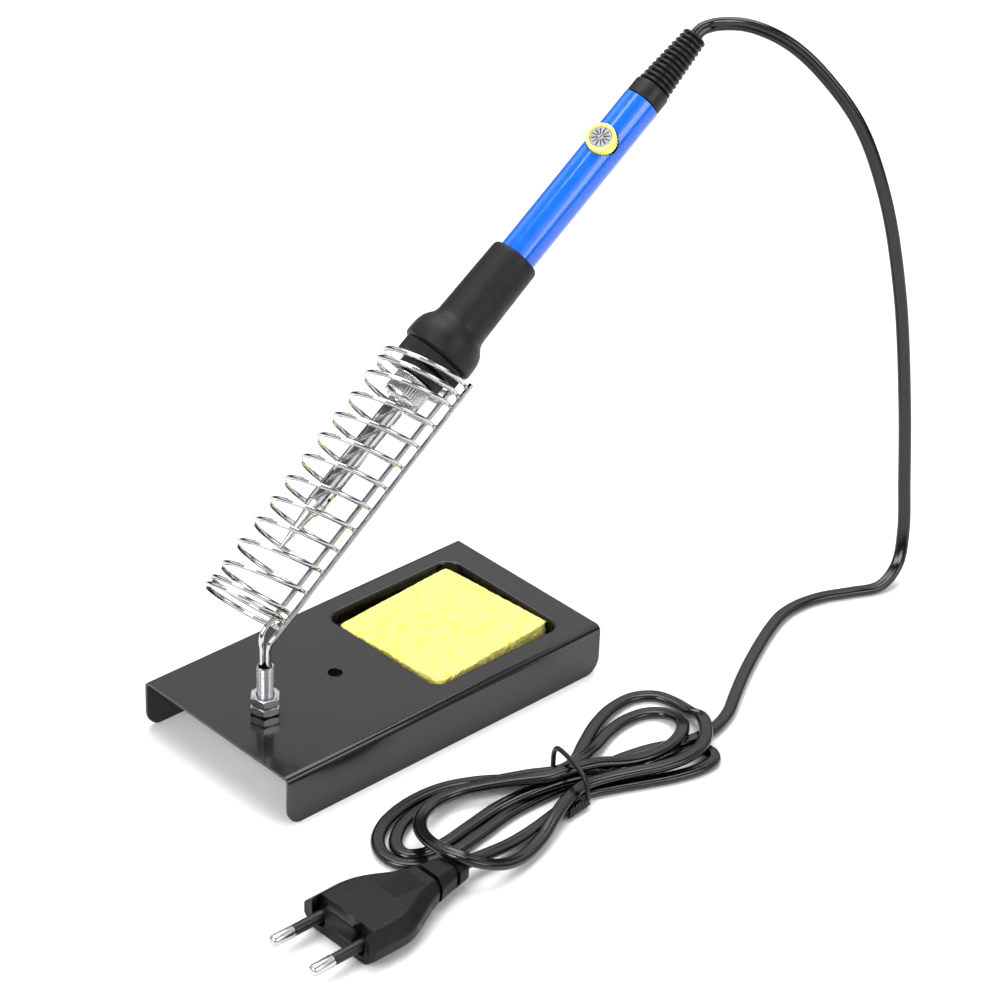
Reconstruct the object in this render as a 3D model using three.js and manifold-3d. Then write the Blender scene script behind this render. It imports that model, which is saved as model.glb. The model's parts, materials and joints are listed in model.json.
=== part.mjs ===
// Soldering iron station: a folded steel base with a sponge tray, a wire coil holder on a
// threaded post, and a temperature-controlled iron with its mains lead tied in a hank.
// Units are millimetres and +Z is up. The stand is drawn about the middle of its base and
// everything is moved at the end, so that the origin is under the middle of stand and iron.
import * as THREE from 'three';
import { mergeVertices } from 'three/addons/utils/BufferGeometryUtils.js';
import Module from 'manifold-3d';

const wasm = await Module();
wasm.setup();

// ---------------------------------------------------------------- driving dimensions
const GAP = 0.3; // air between pieces that touch on the real object

// base: one sheet folded into a channel
const BASE_LENGTH = 140;
const BASE_WIDTH = 74;
const BASE_HEIGHT = 18.6;
const SHEET = 1.0;
const BEND_RADIUS = 2.2;
const FLANGE_CORNER_RADIUS = 6;

// pressed sponge tray
const TRAY_LENGTH = 57.5;
const TRAY_WIDTH = 56;
const TRAY_DEPTH = 6;
const TRAY_CORNER_RADIUS = 5;
const TRAY_END_MARGIN = 10.8; // from the sponge end of the base to the tray
const SPARE_HOLE_DIAMETER = 5.1;
const SPARE_HOLE_FROM_TRAY = 20.2;

// sponge
const SPONGE_CLEARANCE = 0.35; // to the tray wall at its corners, once it is turned
const SPONGE_WIDTH_SHORTFALL = 2.8; // the sponge is cut shorter than the tray is wide
const SPONGE_TURN = 4; // degrees
const SPONGE_SUNK = 0.5; // its top lies this much below the plate's
const SPONGE_CORNER_RADIUS = 2.5;

// post of the coil holder
const POST_FROM_END = 19.5;
const POST_OFFSET_Y = -2;
const NUT_ACROSS_FLATS = 9.4;
const NUT_THICKNESS = 3.0;
const NUT_CORNER_TURN = 46; // degrees, from the base's length to a corner of each nut
const SLEEVE_DIAMETER = 5.8;
const SLEEVE_BORE = 4.7;
const SLEEVE_ABOVE_PLATE = 17.6;
const SLEEVE_BELOW_PLATE = 8.5;
const WASHER_DIAMETER = 12;
const WASHER_THICKNESS = 1;

// holder wire
const TILT = 38; // degrees, holder axis above the bench
const WIRE_DIAMETER = 1.8;
const ROD_DIAMETER = 1.9;
const COIL_RADIUS_BOTTOM = 13.2; // middle of the wire
const COIL_RADIUS_TOP = 14.0;
const COIL_LEAN = 4.5; // the side away from the rods leans this much towards the bottom
const TIGHT_TURNS_BOTTOM = 2;
const TIGHT_PITCH_BOTTOM = 3;
const OPEN_TURNS = 10;
const OPEN_PITCH = 8.65;
const TIGHT_TURNS_TOP = 2;
const TIGHT_PITCH_TOP = 4.2;
const ROD_SIDE_ANGLE = -50; // degrees round the axis, from straight down to the front
const COIL_FOOT_FORWARD = 1.4; // coil axis foot, ahead of the post
const COIL_FOOT_ABOVE_PLATE = 39.7;
const STEM_STRAIGHT_TOP = 22; // height above the plate where the stem starts to bend
const STEM_BEND_PULL = 4;
const INNER_ROD_SHORTER = 4.5; // leaves room for the iron's ribbed collar

// iron, measured along its axis from the lowest open turn of the coil
const IRON_LEAN = 1.5; // degrees, how far the iron leans inside the coil, towards the rods
const IRON_LEAN_PIVOT = 60; // along the axis, where the two axes cross
const TIP_START = 17.5;
const TIP_POINT_RADIUS = 0.35;
const TIP_SHOULDER_RADIUS = 2.3;
const TIP_CONE_LENGTH = 15.8;
const TIP_BODY_RADIUS = 2.75;
const TIP_BODY_LENGTH = 24;
const HEATER_RADIUS = 1.7;
const HEATER_LENGTH = 58;
const HEATER_TIP_WALL = 6; // solid copper between the cone and the heater
const BARREL_RADIUS = 3.6;
const BARREL_WALL = 0.45;
const BARREL_CONE_LENGTH = 4;
const BARREL_LENGTH = 49;
const BARREL_FLANGE_RADIUS = 4.9;
const BARREL_FLANGE_THICKNESS = 1;
const BARREL_SLOT_LENGTH = 9;
const BARREL_SLOT_WIDTH = 1.6;
const NUT_RADIUS = 6.95;
const NUT_LENGTH = 9.5;
const NUT_LIP = 1.2;
const BUSH_THREAD_RADIUS = 5.6;
const BUSH_BORE_RADIUS = 3.0;
const BUSH_COLLAR_RADIUS = 8.5;
const BUSH_COLLAR_LENGTH = 4.6;
const RIB_COLLAR_RADIUS = 11.6;
const RIB_COLLAR_LENGTH = 5;
const BELL_RADIUS = 12.9;
const BELL_LENGTH = 10;
const GRIP_FRONT_WALL = 2.2; // rubber over the tube, behind the bell
const GRIP_REAR_WALL = 1.7;
const GRIP_LENGTH = 43;
const TUBE_RADIUS = 6.8;
const TUBE_WALL = 1.1;
const TUBE_LENGTH = 106;
const TUBE_HIDDEN = 38; // how much of the tube the grip covers
const RELIEF_COLLAR_STEP = 0.2; // the collar is this much slimmer than the tube
const RELIEF_COLLAR_LENGTH = 6;
const RELIEF_START_RADIUS = 6.1;
const RELIEF_END_RADIUS = 4.4;
const RELIEF_RIB_COUNT = 12;
const RELIEF_RIB_PITCH = 1.95;

// electronics inside the handle
const BOARD_LENGTH = 58;
const BOARD_THICKNESS = 1.2;
const BOARD_FROM_TUBE_END = 11;
const LEAD_RADIUS = 0.5;
const LEAD_SPACING = 3.2;

// temperature knob
const KNOB_FROM_TUBE_END = 20;
const KNOB_ROLL = 18; // degrees, towards the front
const KNOB_RADIUS = 5.2;
const KNOB_PROUD = 2.2; // above the tube
const DIAL_RADIUS = 3.7;
const KNOB_WELL_RADIUS = 5.5;

// mains lead and plug
const CORD_DIAMETER = 4;
const CORD_STEPS = 70;
const CORD_LEAD_OUT = 2.5; // straight out of the strain relief
const HANK_HEIGHT = 10;
const TIE_WIRE = 1.2;
const TIE_BEND = 1.5;
const TIE_PLACE_X = 14;
const WAIST_BACK_Y = -71.5; // the hank is pinched between these two where the tie holds it
const WAIST_FRONT_Y = -90.5;
const WAIST_HALF_LENGTH = 4;
const PLUG_PLACE = new THREE.Vector3(-98, -94, 6.3);
const PLUG_WIDTH = 33.5;
const PLUG_FLAT_WIDTH = 25; // of the flat top and underside, between the sloping sides
const PLUG_THICKNESS = 11.5;
const PLUG_EDGE_THICKNESS = 4;
const PLUG_STRAIGHT_LENGTH = 13; // from the contact face to where the sides draw in
const PLUG_BODY_LENGTH = 37;
const PLUG_NECK_LENGTH = 14;
const PLUG_NECK_WIDTH = 8.4;
const PLUG_WAIST_WIDTH = 15;
const PIN_RADIUS = 2;
const PIN_LENGTH = 19;
const PIN_SPACING = 18.6;
const PIN_SLEEVE_RADIUS = 1.9;
const PIN_SLEEVE_LENGTH = 10;
const PIN_CORE_RADIUS = 1.3;
const PIN_POCKET_RADIUS = 3.1;
const PIN_POCKET_DEPTH = 3.5;

// ---------------------------------------------------------------- derived places
const PLATE_UNDERSIDE = BASE_HEIGHT - SHEET;
const POST = new THREE.Vector3(-BASE_LENGTH / 2 + POST_FROM_END, POST_OFFSET_Y, BASE_HEIGHT);
const TRAY_END_X = BASE_LENGTH / 2 - TRAY_END_MARGIN;
const TRAY_CENTRE_X = TRAY_END_X - TRAY_LENGTH / 2;
const ROD_SIDE = THREE.MathUtils.degToRad(ROD_SIDE_ANGLE);
const ROD_OFFSET = (WIRE_DIAMETER + ROD_DIAMETER) / 2 + GAP;
const COIL_FOOT = new THREE.Vector3(
  POST.x + COIL_FOOT_FORWARD,
  POST.y - Math.sin(ROD_SIDE) * COIL_RADIUS_BOTTOM,
  POST.z + COIL_FOOT_ABOVE_PLATE,
);
const COIL_START = -TIGHT_PITCH_BOTTOM;
const COIL_TURNS = TIGHT_TURNS_BOTTOM + OPEN_TURNS + TIGHT_TURNS_TOP;
const COIL_END = COIL_START + TIGHT_TURNS_BOTTOM * TIGHT_PITCH_BOTTOM
  + OPEN_TURNS * OPEN_PITCH + TIGHT_TURNS_TOP * TIGHT_PITCH_TOP;
const BARREL_START = TIP_START + TIP_CONE_LENGTH;
const BARREL_END = BARREL_START + BARREL_LENGTH;
const NUT_START = BARREL_END - BARREL_FLANGE_THICKNESS - GAP - NUT_LIP;
const BUSH_COLLAR_START = NUT_START + NUT_LENGTH + GAP;
const RIB_COLLAR_START = BUSH_COLLAR_START + BUSH_COLLAR_LENGTH + GAP;
const GRIP_START = RIB_COLLAR_START + RIB_COLLAR_LENGTH + GAP;
const GRIP_END = GRIP_START + GRIP_LENGTH;
const TUBE_START = GRIP_END - TUBE_HIDDEN;
const TUBE_END = TUBE_START + TUBE_LENGTH;
const TUBE_BORE_RADIUS = TUBE_RADIUS - TUBE_WALL;
const RELIEF_COLLAR_RADIUS = TUBE_RADIUS - RELIEF_COLLAR_STEP;
const RELIEF_START = TUBE_END + GAP;
const RELIEF_END = RELIEF_START + RELIEF_COLLAR_LENGTH + RELIEF_RIB_COUNT * RELIEF_RIB_PITCH;
const BOARD_END = TUBE_END - BOARD_FROM_TUBE_END;
const BOARD_START = BOARD_END - BOARD_LENGTH;
const KNOB_PLACE = TUBE_END - KNOB_FROM_TUBE_END;

// ---------------------------------------------------------------- materials
function finish(color, roughness, metalness) {
  return new THREE.MeshStandardMaterial({ color, roughness, metalness });
}
const BLACK_PAINT = finish(0x26272a, 0.3, 0.1);
const CHROME = finish(0xd9dbde, 0.12, 1);
const ZINC = finish(0xb9bcc0, 0.3, 1);
const SPONGE_YELLOW = finish(0xf7ee7c, 0.95, 0);
const TIP_PLATING = finish(0xb6b8bb, 0.25, 1);
const CERAMIC = finish(0xe8e4dc, 0.6, 0);
const DARK_PLASTIC = finish(0x1b1b1d, 0.45, 0);
const RUBBER = finish(0x242425, 0.7, 0);
const BLUE_PLASTIC = finish(0x256bea, 0.18, 0);
const YELLOW_PLASTIC = finish(0xfdf27a, 0.4, 0);
const GREY_PLASTIC = finish(0x969696, 0.5, 0);
const BOARD_GREEN = finish(0x2f6b3c, 0.5, 0);
const BROWN_FILM = finish(0x8a4b2a, 0.5, 0);
const LEAD_RED = finish(0xb3261e, 0.5, 0);
const LEAD_BLUE = finish(0x2450a0, 0.5, 0);
const CORD_BLACK = finish(0x161617, 0.4, 0);

// ---------------------------------------------------------------- geometry helpers
// Merges shared corners, drops flat slivers and turns the faces outwards.
function closed(source) {
  const plain = source.clone();
  plain.deleteAttribute('normal');
  plain.deleteAttribute('uv');
  const merged = mergeVertices(plain, 1e-4);
  const index = merged.index.array;
  const place = merged.attributes.position;
  const corner = [new THREE.Vector3(), new THREE.Vector3(), new THREE.Vector3()];
  const kept = [];
  let volume = 0;
  for (let i = 0; i < index.length; i += 3) {
    const face = [index[i], index[i + 1], index[i + 2]];
    if (new Set(face).size < 3) continue;
    face.forEach((vertex, k) => corner[k].fromBufferAttribute(place, vertex));
    volume += corner[0].dot(corner[1].clone().cross(corner[2]));
    kept.push(face);
  }
  if (volume < 0) kept.forEach((face) => face.reverse());
  const result = new THREE.BufferGeometry();
  result.setAttribute('position', place.clone());
  result.setIndex(kept.flat());
  return result;
}

function toSolid(geometry) {
  const ready = closed(geometry);
  return new wasm.Manifold(new wasm.Mesh({
    numProp: 3,
    vertProperties: new Float32Array(ready.attributes.position.array),
    triVerts: new Uint32Array(ready.index.array),
  }));
}

function toGeometry(solid) {
  const mesh = solid.getMesh();
  const geometry = new THREE.BufferGeometry();
  geometry.setAttribute('position', new THREE.BufferAttribute(mesh.vertProperties, 3));
  geometry.setIndex(new THREE.BufferAttribute(mesh.triVerts, 1));
  return geometry;
}

function cut(body, ...tools) {
  let solid = toSolid(body);
  for (const tool of tools) solid = solid.subtract(toSolid(tool));
  return toGeometry(solid);
}

function join(body, ...others) {
  let solid = toSolid(body);
  for (const other of others) solid = solid.add(toSolid(other));
  return toGeometry(solid);
}

function common(body, ...others) {
  let solid = toSolid(body);
  for (const other of others) solid = solid.intersect(toSolid(other));
  return toGeometry(solid);
}

// A turned piece about Z from [radius, height] corners, which start and end on the axis or
// close on themselves.
function turned(corners, segments = 32) {
  const profile = corners.map(([radius, height]) => new THREE.Vector2(radius, height));
  return closed(new THREE.LatheGeometry(profile, segments).rotateX(Math.PI / 2));
}

// A tube about Z as a closed profile.
function ring(outer, inner, from, to, segments = 32) {
  return turned([[inner, from], [outer, from], [outer, to], [inner, to], [inner, from]], segments);
}

function bar(radius, from, to, segments = 24) {
  return turned([[0, from], [radius, from], [radius, to], [0, to]], segments);
}

function block(sizeX, sizeY, sizeZ, x, y, z) {
  return new THREE.BoxGeometry(sizeX, sizeY, sizeZ).translate(x, y, z);
}

function roundedRectangle(sizeX, sizeY, radius) {
  const [x, y] = [sizeX / 2, sizeY / 2];
  const shape = new THREE.Shape();
  shape.absarc(x - radius, y - radius, radius, 0, Math.PI / 2);
  shape.absarc(-x + radius, y - radius, radius, Math.PI / 2, Math.PI);
  shape.absarc(-x + radius, -y + radius, radius, Math.PI, 1.5 * Math.PI);
  shape.absarc(x - radius, -y + radius, radius, 1.5 * Math.PI, 2 * Math.PI);
  shape.closePath();
  return shape;
}

// A flat shape raised along Z between two heights.
function raised(shape, from, to, curveSegments = 5) {
  const options = { depth: to - from, bevelEnabled: false, curveSegments };
  return closed(new THREE.ExtrudeGeometry(shape, options).translate(0, 0, from));
}

// A round wire or cord along a curve.
function wire(curve, radius, steps, sides = 8) {
  const section = new THREE.Shape();
  for (let i = 0; i < sides; i += 1) {
    const angle = (2 * Math.PI * i) / sides;
    const corner = [radius * Math.cos(angle), radius * Math.sin(angle)];
    if (i === 0) section.moveTo(...corner);
    else section.lineTo(...corner);
  }
  section.closePath();
  const options = { steps, bevelEnabled: false, extrudePath: curve };
  return closed(new THREE.ExtrudeGeometry(section, options));
}

function piece(parent, name, geometry, material) {
  const mesh = new THREE.Mesh(geometry, material);
  mesh.name = name;
  parent.add(mesh);
  return mesh;
}

// ---------------------------------------------------------------- stand
const station = new THREE.Group();
const stand = new THREE.Group();
station.add(stand);

function channelSection() {
  const [half, inner] = [BASE_WIDTH / 2, BASE_WIDTH / 2 - SHEET];
  const [high, bend] = [BASE_HEIGHT, BEND_RADIUS];
  const shape = new THREE.Shape();
  shape.moveTo(half, 0);
  shape.lineTo(half, high - bend);
  shape.absarc(half - bend, high - bend, bend, 0, Math.PI / 2);
  shape.absarc(-half + bend, high - bend, bend, Math.PI / 2, Math.PI);
  shape.lineTo(-half, 0);
  shape.lineTo(-inner, 0);
  shape.absarc(-half + bend, high - bend, bend - SHEET, Math.PI, Math.PI / 2, true);
  shape.absarc(half - bend, high - bend, bend - SHEET, Math.PI / 2, 0, true);
  shape.lineTo(inner, 0);
  shape.closePath();
  return shape;
}

// The channel seen from its long side: its lower corners are rounded off.
function sideOutline() {
  const [half, r] = [BASE_LENGTH / 2, FLANGE_CORNER_RADIUS];
  const shape = new THREE.Shape();
  shape.moveTo(half, BASE_HEIGHT + 1);
  shape.lineTo(-half, BASE_HEIGHT + 1);
  shape.absarc(-half + r, r, r, Math.PI, 1.5 * Math.PI);
  shape.absarc(half - r, r, r, 1.5 * Math.PI, 2 * Math.PI);
  shape.closePath();
  return shape;
}

function trayBlock(grow, top, bottom) {
  const outline = roundedRectangle(
    TRAY_LENGTH + 2 * grow,
    TRAY_WIDTH + 2 * grow,
    TRAY_CORNER_RADIUS + grow,
  );
  return raised(outline, bottom, top).translate(TRAY_CENTRE_X, 0, 0);
}

function makeBase() {
  const along = { depth: BASE_LENGTH, bevelEnabled: false, curveSegments: 4 };
  const channel = new THREE.ExtrudeGeometry(channelSection(), along)
    .translate(0, 0, -BASE_LENGTH / 2)
    .rotateX(Math.PI / 2)
    .rotateZ(Math.PI / 2);
  const across = { depth: BASE_WIDTH + 4, bevelEnabled: false, curveSegments: 6 };
  const outline = new THREE.ExtrudeGeometry(sideOutline(), across)
    .translate(0, 0, -BASE_WIDTH / 2 - 2)
    .rotateX(Math.PI / 2);
  const folded = common(channel, outline);
  const pressed = join(folded, trayBlock(SHEET, PLATE_UNDERSIDE + SHEET / 2,
    PLATE_UNDERSIDE - TRAY_DEPTH));
  const postHole = bar(SLEEVE_DIAMETER / 2 + GAP, PLATE_UNDERSIDE - 1, BASE_HEIGHT + 1)
    .translate(POST.x, POST.y, 0);
  const spareHole = bar(SPARE_HOLE_DIAMETER / 2, PLATE_UNDERSIDE - 1, BASE_HEIGHT + 1, 20)
    .translate(TRAY_CENTRE_X - TRAY_LENGTH / 2 - SPARE_HOLE_FROM_TRAY, 0, 0);
  const hollow = trayBlock(0, BASE_HEIGHT + 1, BASE_HEIGHT - TRAY_DEPTH);
  return cut(pressed, hollow, postHole, spareHole);
}
piece(stand, 'base_plate', makeBase(), BLACK_PAINT);

// The sponge fits the tray after its small turn: its own sides come from the tray's.
function makeSponge() {
  const turn = THREE.MathUtils.degToRad(SPONGE_TURN);
  const width = TRAY_WIDTH - 2 * SPONGE_CLEARANCE - SPONGE_WIDTH_SHORTFALL
    - TRAY_LENGTH * Math.sin(turn);
  const length = (TRAY_LENGTH - 2 * SPONGE_CLEARANCE - width * Math.sin(turn)) / Math.cos(turn);
  const floor = BASE_HEIGHT - TRAY_DEPTH + GAP;
  const outline = roundedRectangle(length, width, SPONGE_CORNER_RADIUS);
  return raised(outline, floor, BASE_HEIGHT - SPONGE_SUNK, 4)
    .rotateZ(turn)
    .translate(TRAY_CENTRE_X, 0, 0);
}
piece(stand, 'sponge', makeSponge(), SPONGE_YELLOW);

// ---------------------------------------------------------------- post hardware
function hexNut(bottom) {
  const radius = NUT_ACROSS_FLATS / Math.sqrt(3);
  const hexagon = new THREE.Shape();
  for (let i = 0; i < 6; i += 1) {
    const angle = (Math.PI / 3) * i + THREE.MathUtils.degToRad(NUT_CORNER_TURN);
    const corner = [radius * Math.cos(angle), radius * Math.sin(angle)];
    if (i === 0) hexagon.moveTo(...corner);
    else hexagon.lineTo(...corner);
  }
  hexagon.closePath();
  const blank = raised(hexagon, bottom, bottom + NUT_THICKNESS);
  const bore = bar(SLEEVE_DIAMETER / 2 + GAP, bottom - 1, bottom + NUT_THICKNESS + 1);
  return cut(blank, bore).translate(POST.x, POST.y, 0);
}
const LOWER_NUT_BOTTOM = BASE_HEIGHT + GAP;
const UPPER_NUT_BOTTOM = LOWER_NUT_BOTTOM + NUT_THICKNESS + GAP;
const WASHER_TOP = PLATE_UNDERSIDE - GAP;
const UNDER_NUT_BOTTOM = WASHER_TOP - WASHER_THICKNESS - GAP - NUT_THICKNESS;
piece(stand, 'lower_nut', hexNut(LOWER_NUT_BOTTOM), ZINC);
piece(stand, 'upper_nut', hexNut(UPPER_NUT_BOTTOM), ZINC);
piece(stand, 'under_nut', hexNut(UNDER_NUT_BOTTOM), ZINC);
piece(stand, 'under_washer', ring(
  WASHER_DIAMETER / 2,
  SLEEVE_DIAMETER / 2 + GAP,
  WASHER_TOP - WASHER_THICKNESS,
  WASHER_TOP,
).translate(POST.x, POST.y, 0), ZINC);
const SLEEVE_TOP = BASE_HEIGHT + SLEEVE_ABOVE_PLATE;
const SLEEVE_BOTTOM = BASE_HEIGHT - SLEEVE_BELOW_PLATE;
piece(stand, 'threaded_sleeve', ring(
  SLEEVE_DIAMETER / 2,
  SLEEVE_BORE / 2,
  SLEEVE_BOTTOM,
  SLEEVE_TOP,
).translate(POST.x, POST.y, 0), ZINC);

// ---------------------------------------------------------------- coil holder
// Holder frame: +Z runs up the coil's axis, +X is the underside, -Y is the front.
const holder = new THREE.Group();
holder.position.copy(COIL_FOOT);
holder.rotation.y = Math.PI / 2 - THREE.MathUtils.degToRad(TILT);
station.add(holder);
holder.updateMatrixWorld(true);

function coilRadius(along) {
  const share = (along - COIL_START) / (COIL_END - COIL_START);
  return THREE.MathUtils.lerp(COIL_RADIUS_BOTTOM, COIL_RADIUS_TOP, share);
}

// How far along the axis the wire has climbed after a number of turns.
function climb(turns) {
  const low = Math.min(turns, TIGHT_TURNS_BOTTOM);
  const open = THREE.MathUtils.clamp(turns - TIGHT_TURNS_BOTTOM, 0, OPEN_TURNS);
  const high = Math.max(turns - TIGHT_TURNS_BOTTOM - OPEN_TURNS, 0);
  return COIL_START + low * TIGHT_PITCH_BOTTOM + open * OPEN_PITCH + high * TIGHT_PITCH_TOP;
}

class CoilCurve extends THREE.Curve {
  getPoint(share, target = new THREE.Vector3()) {
    const turns = share * COIL_TURNS;
    const round = 2 * Math.PI * turns;
    const along = climb(turns) - (COIL_LEAN * (1 - Math.cos(round))) / 2;
    const radius = coilRadius(along);
    const angle = ROD_SIDE + round;
    return target.set(radius * Math.cos(angle), radius * Math.sin(angle), along);
  }
}
const COIL_STEPS_PER_TURN = 16;
piece(holder, 'coil_wire', wire(
  new CoilCurve(),
  WIRE_DIAMETER / 2,
  COIL_TURNS * COIL_STEPS_PER_TURN,
  6,
), CHROME);

// One straight rod beside the turns, bent at the bottom to stand in the threaded sleeve.
function holderRod(side, topEnd) {
  const across = new THREE.Vector3(Math.cos(ROD_SIDE), Math.sin(ROD_SIDE), 0);
  const beside = (along) => across.clone()
    .multiplyScalar(coilRadius(along) + side * ROD_OFFSET)
    .setZ(along)
    .applyMatrix4(holder.matrixWorld);
  const low = beside(COIL_START - WIRE_DIAMETER);
  const high = beside(topEnd);
  const slope = high.clone().sub(low).normalize();
  const level = across.clone().transformDirection(holder.matrixWorld).setZ(0).normalize();
  const stem = level.multiplyScalar(side * (ROD_DIAMETER + GAP) / 2).add(POST);
  const foot = stem.clone().setZ(SLEEVE_BOTTOM + 1);
  const elbow = stem.clone().setZ(POST.z + STEM_STRAIGHT_TOP);
  const path = new THREE.CurvePath();
  path.add(new THREE.LineCurve3(foot, elbow));
  path.add(new THREE.CubicBezierCurve3(
    elbow,
    elbow.clone().add(new THREE.Vector3(0, 0, STEM_BEND_PULL)),
    low.clone().addScaledVector(slope, -STEM_BEND_PULL),
    low,
  ));
  path.add(new THREE.LineCurve3(low, high));
  return wire(path, ROD_DIAMETER / 2, 36, 8);
}
piece(stand, 'rod_outer', holderRod(1, COIL_END + WIRE_DIAMETER), CHROME);
piece(stand, 'rod_inner', holderRod(-1, COIL_END - INNER_ROD_SHORTER), CHROME);

// ---------------------------------------------------------------- iron
const iron = new THREE.Group();
const leanAxis = new THREE.Vector3(-Math.sin(ROD_SIDE), Math.cos(ROD_SIDE), 0);
iron.quaternion.setFromAxisAngle(leanAxis, THREE.MathUtils.degToRad(IRON_LEAN));
const pivot = new THREE.Vector3(0, 0, IRON_LEAN_PIVOT);
iron.position.copy(pivot).sub(pivot.clone().applyQuaternion(iron.quaternion));
holder.add(iron);

function makeTip() {
  const blind = BARREL_START + HEATER_TIP_WALL;
  const end = BARREL_START + GAP + TIP_BODY_LENGTH;
  const bore = HEATER_RADIUS + GAP / 2;
  return turned([
    [0, TIP_START],
    [TIP_POINT_RADIUS, TIP_START + 0.2],
    [TIP_SHOULDER_RADIUS, BARREL_START + GAP],
    [TIP_SHOULDER_RADIUS, BARREL_START + BARREL_CONE_LENGTH + GAP],
    [TIP_BODY_RADIUS, BARREL_START + BARREL_CONE_LENGTH + GAP + 1],
    [TIP_BODY_RADIUS, end],
    [bore, end],
    [bore, blind],
    [0, blind],
  ], 24);
}
piece(iron, 'soldering_tip', makeTip(), TIP_PLATING);
const HEATER_START = BARREL_START + HEATER_TIP_WALL + GAP;
const HEATER_END = HEATER_START + HEATER_LENGTH;
piece(iron, 'heater', bar(HEATER_RADIUS, HEATER_START, HEATER_END, 16), CERAMIC);

function makeBarrel() {
  const mouth = TIP_SHOULDER_RADIUS + GAP;
  const shell = turned([
    [mouth, BARREL_START],
    [mouth + BARREL_WALL, BARREL_START],
    [BARREL_RADIUS, BARREL_START + BARREL_CONE_LENGTH],
    [BARREL_RADIUS, BARREL_END - BARREL_FLANGE_THICKNESS],
    [BARREL_FLANGE_RADIUS, BARREL_END - BARREL_FLANGE_THICKNESS],
    [BARREL_FLANGE_RADIUS, BARREL_END],
    [BARREL_RADIUS - BARREL_WALL, BARREL_END],
    [BARREL_RADIUS - BARREL_WALL, BARREL_START + BARREL_CONE_LENGTH],
    [mouth, BARREL_START],
  ], 28);
  const slots = [0, 1, 2].map((i) => block(
    2 * BARREL_RADIUS,
    BARREL_SLOT_WIDTH,
    BARREL_SLOT_LENGTH,
    BARREL_RADIUS + BARREL_WALL,
    0,
    BARREL_START + BARREL_CONE_LENGTH + BARREL_SLOT_LENGTH,
  ).rotateZ((2 * Math.PI * i) / 3 + Math.PI));
  return cut(shell, ...slots);
}
piece(iron, 'barrel', makeBarrel(), CHROME);

piece(iron, 'ferrule_nut', turned([
  [BARREL_RADIUS + GAP, NUT_START],
  [NUT_RADIUS - 1.6, NUT_START],
  [NUT_RADIUS, NUT_START + 1.4],
  [NUT_RADIUS, NUT_START + NUT_LENGTH],
  [BUSH_THREAD_RADIUS + GAP, NUT_START + NUT_LENGTH],
  [BUSH_THREAD_RADIUS + GAP, NUT_START + NUT_LIP],
  [BARREL_RADIUS + GAP, NUT_START + NUT_LIP],
  [BARREL_RADIUS + GAP, NUT_START],
]), CHROME);

const BUSH_START = BARREL_END + GAP;
const BUSH_SPIGOT_RADIUS = TUBE_BORE_RADIUS - GAP;
const BUSH_END = TUBE_START + 12;
piece(iron, 'front_bush', turned([
  [BUSH_BORE_RADIUS, BUSH_START],
  [BUSH_THREAD_RADIUS, BUSH_START],
  [BUSH_THREAD_RADIUS, BUSH_COLLAR_START],
  [BUSH_COLLAR_RADIUS, BUSH_COLLAR_START],
  [BUSH_COLLAR_RADIUS, BUSH_COLLAR_START + BUSH_COLLAR_LENGTH],
  [BUSH_SPIGOT_RADIUS, BUSH_COLLAR_START + BUSH_COLLAR_LENGTH],
  [BUSH_SPIGOT_RADIUS, BUSH_END],
  [BUSH_BORE_RADIUS, BUSH_END],
  [BUSH_BORE_RADIUS, BUSH_START],
]), DARK_PLASTIC);

piece(iron, 'ribbed_collar', ring(
  RIB_COLLAR_RADIUS,
  BUSH_SPIGOT_RADIUS + GAP,
  RIB_COLLAR_START,
  RIB_COLLAR_START + RIB_COLLAR_LENGTH,
), DARK_PLASTIC);

const GRIP_BORE_RADIUS = TUBE_RADIUS + GAP;
const GRIP_FRONT_RADIUS = GRIP_BORE_RADIUS + GRIP_FRONT_WALL;
const GRIP_REAR_RADIUS = GRIP_BORE_RADIUS + GRIP_REAR_WALL;
piece(iron, 'grip_sleeve', turned([
  [GRIP_BORE_RADIUS, GRIP_START],
  [BELL_RADIUS - 1, GRIP_START],
  [BELL_RADIUS, GRIP_START + 1.5],
  [BELL_RADIUS - 0.3, GRIP_START + BELL_LENGTH * 0.6],
  [BELL_RADIUS - 1.4, GRIP_START + BELL_LENGTH * 0.9],
  [GRIP_FRONT_RADIUS, GRIP_START + BELL_LENGTH + 2],
  [GRIP_REAR_RADIUS, GRIP_END - 1],
  [GRIP_REAR_RADIUS - 1, GRIP_END],
  [GRIP_BORE_RADIUS, GRIP_END],
  [GRIP_BORE_RADIUS, GRIP_START],
]), RUBBER);

// Things on the knob's own axis are drawn about Z and laid over to point out of the tube.
const KNOB_TURN = new THREE.Euler(0, -Math.PI / 2, 0);
function underKnob(geometry) {
  return geometry
    .applyMatrix4(new THREE.Matrix4().makeRotationFromEuler(KNOB_TURN))
    .rotateZ(THREE.MathUtils.degToRad(KNOB_ROLL))
    .translate(0, 0, KNOB_PLACE);
}
const WELL_FLOOR = TUBE_RADIUS - 2.2;
function makeTube() {
  const shell = ring(TUBE_RADIUS, TUBE_BORE_RADIUS, TUBE_START, TUBE_END, 36);
  return cut(shell, underKnob(bar(KNOB_WELL_RADIUS, 0, TUBE_RADIUS + 1, 28)));
}
piece(iron, 'handle_tube', makeTube(), BLUE_PLASTIC);

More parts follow.
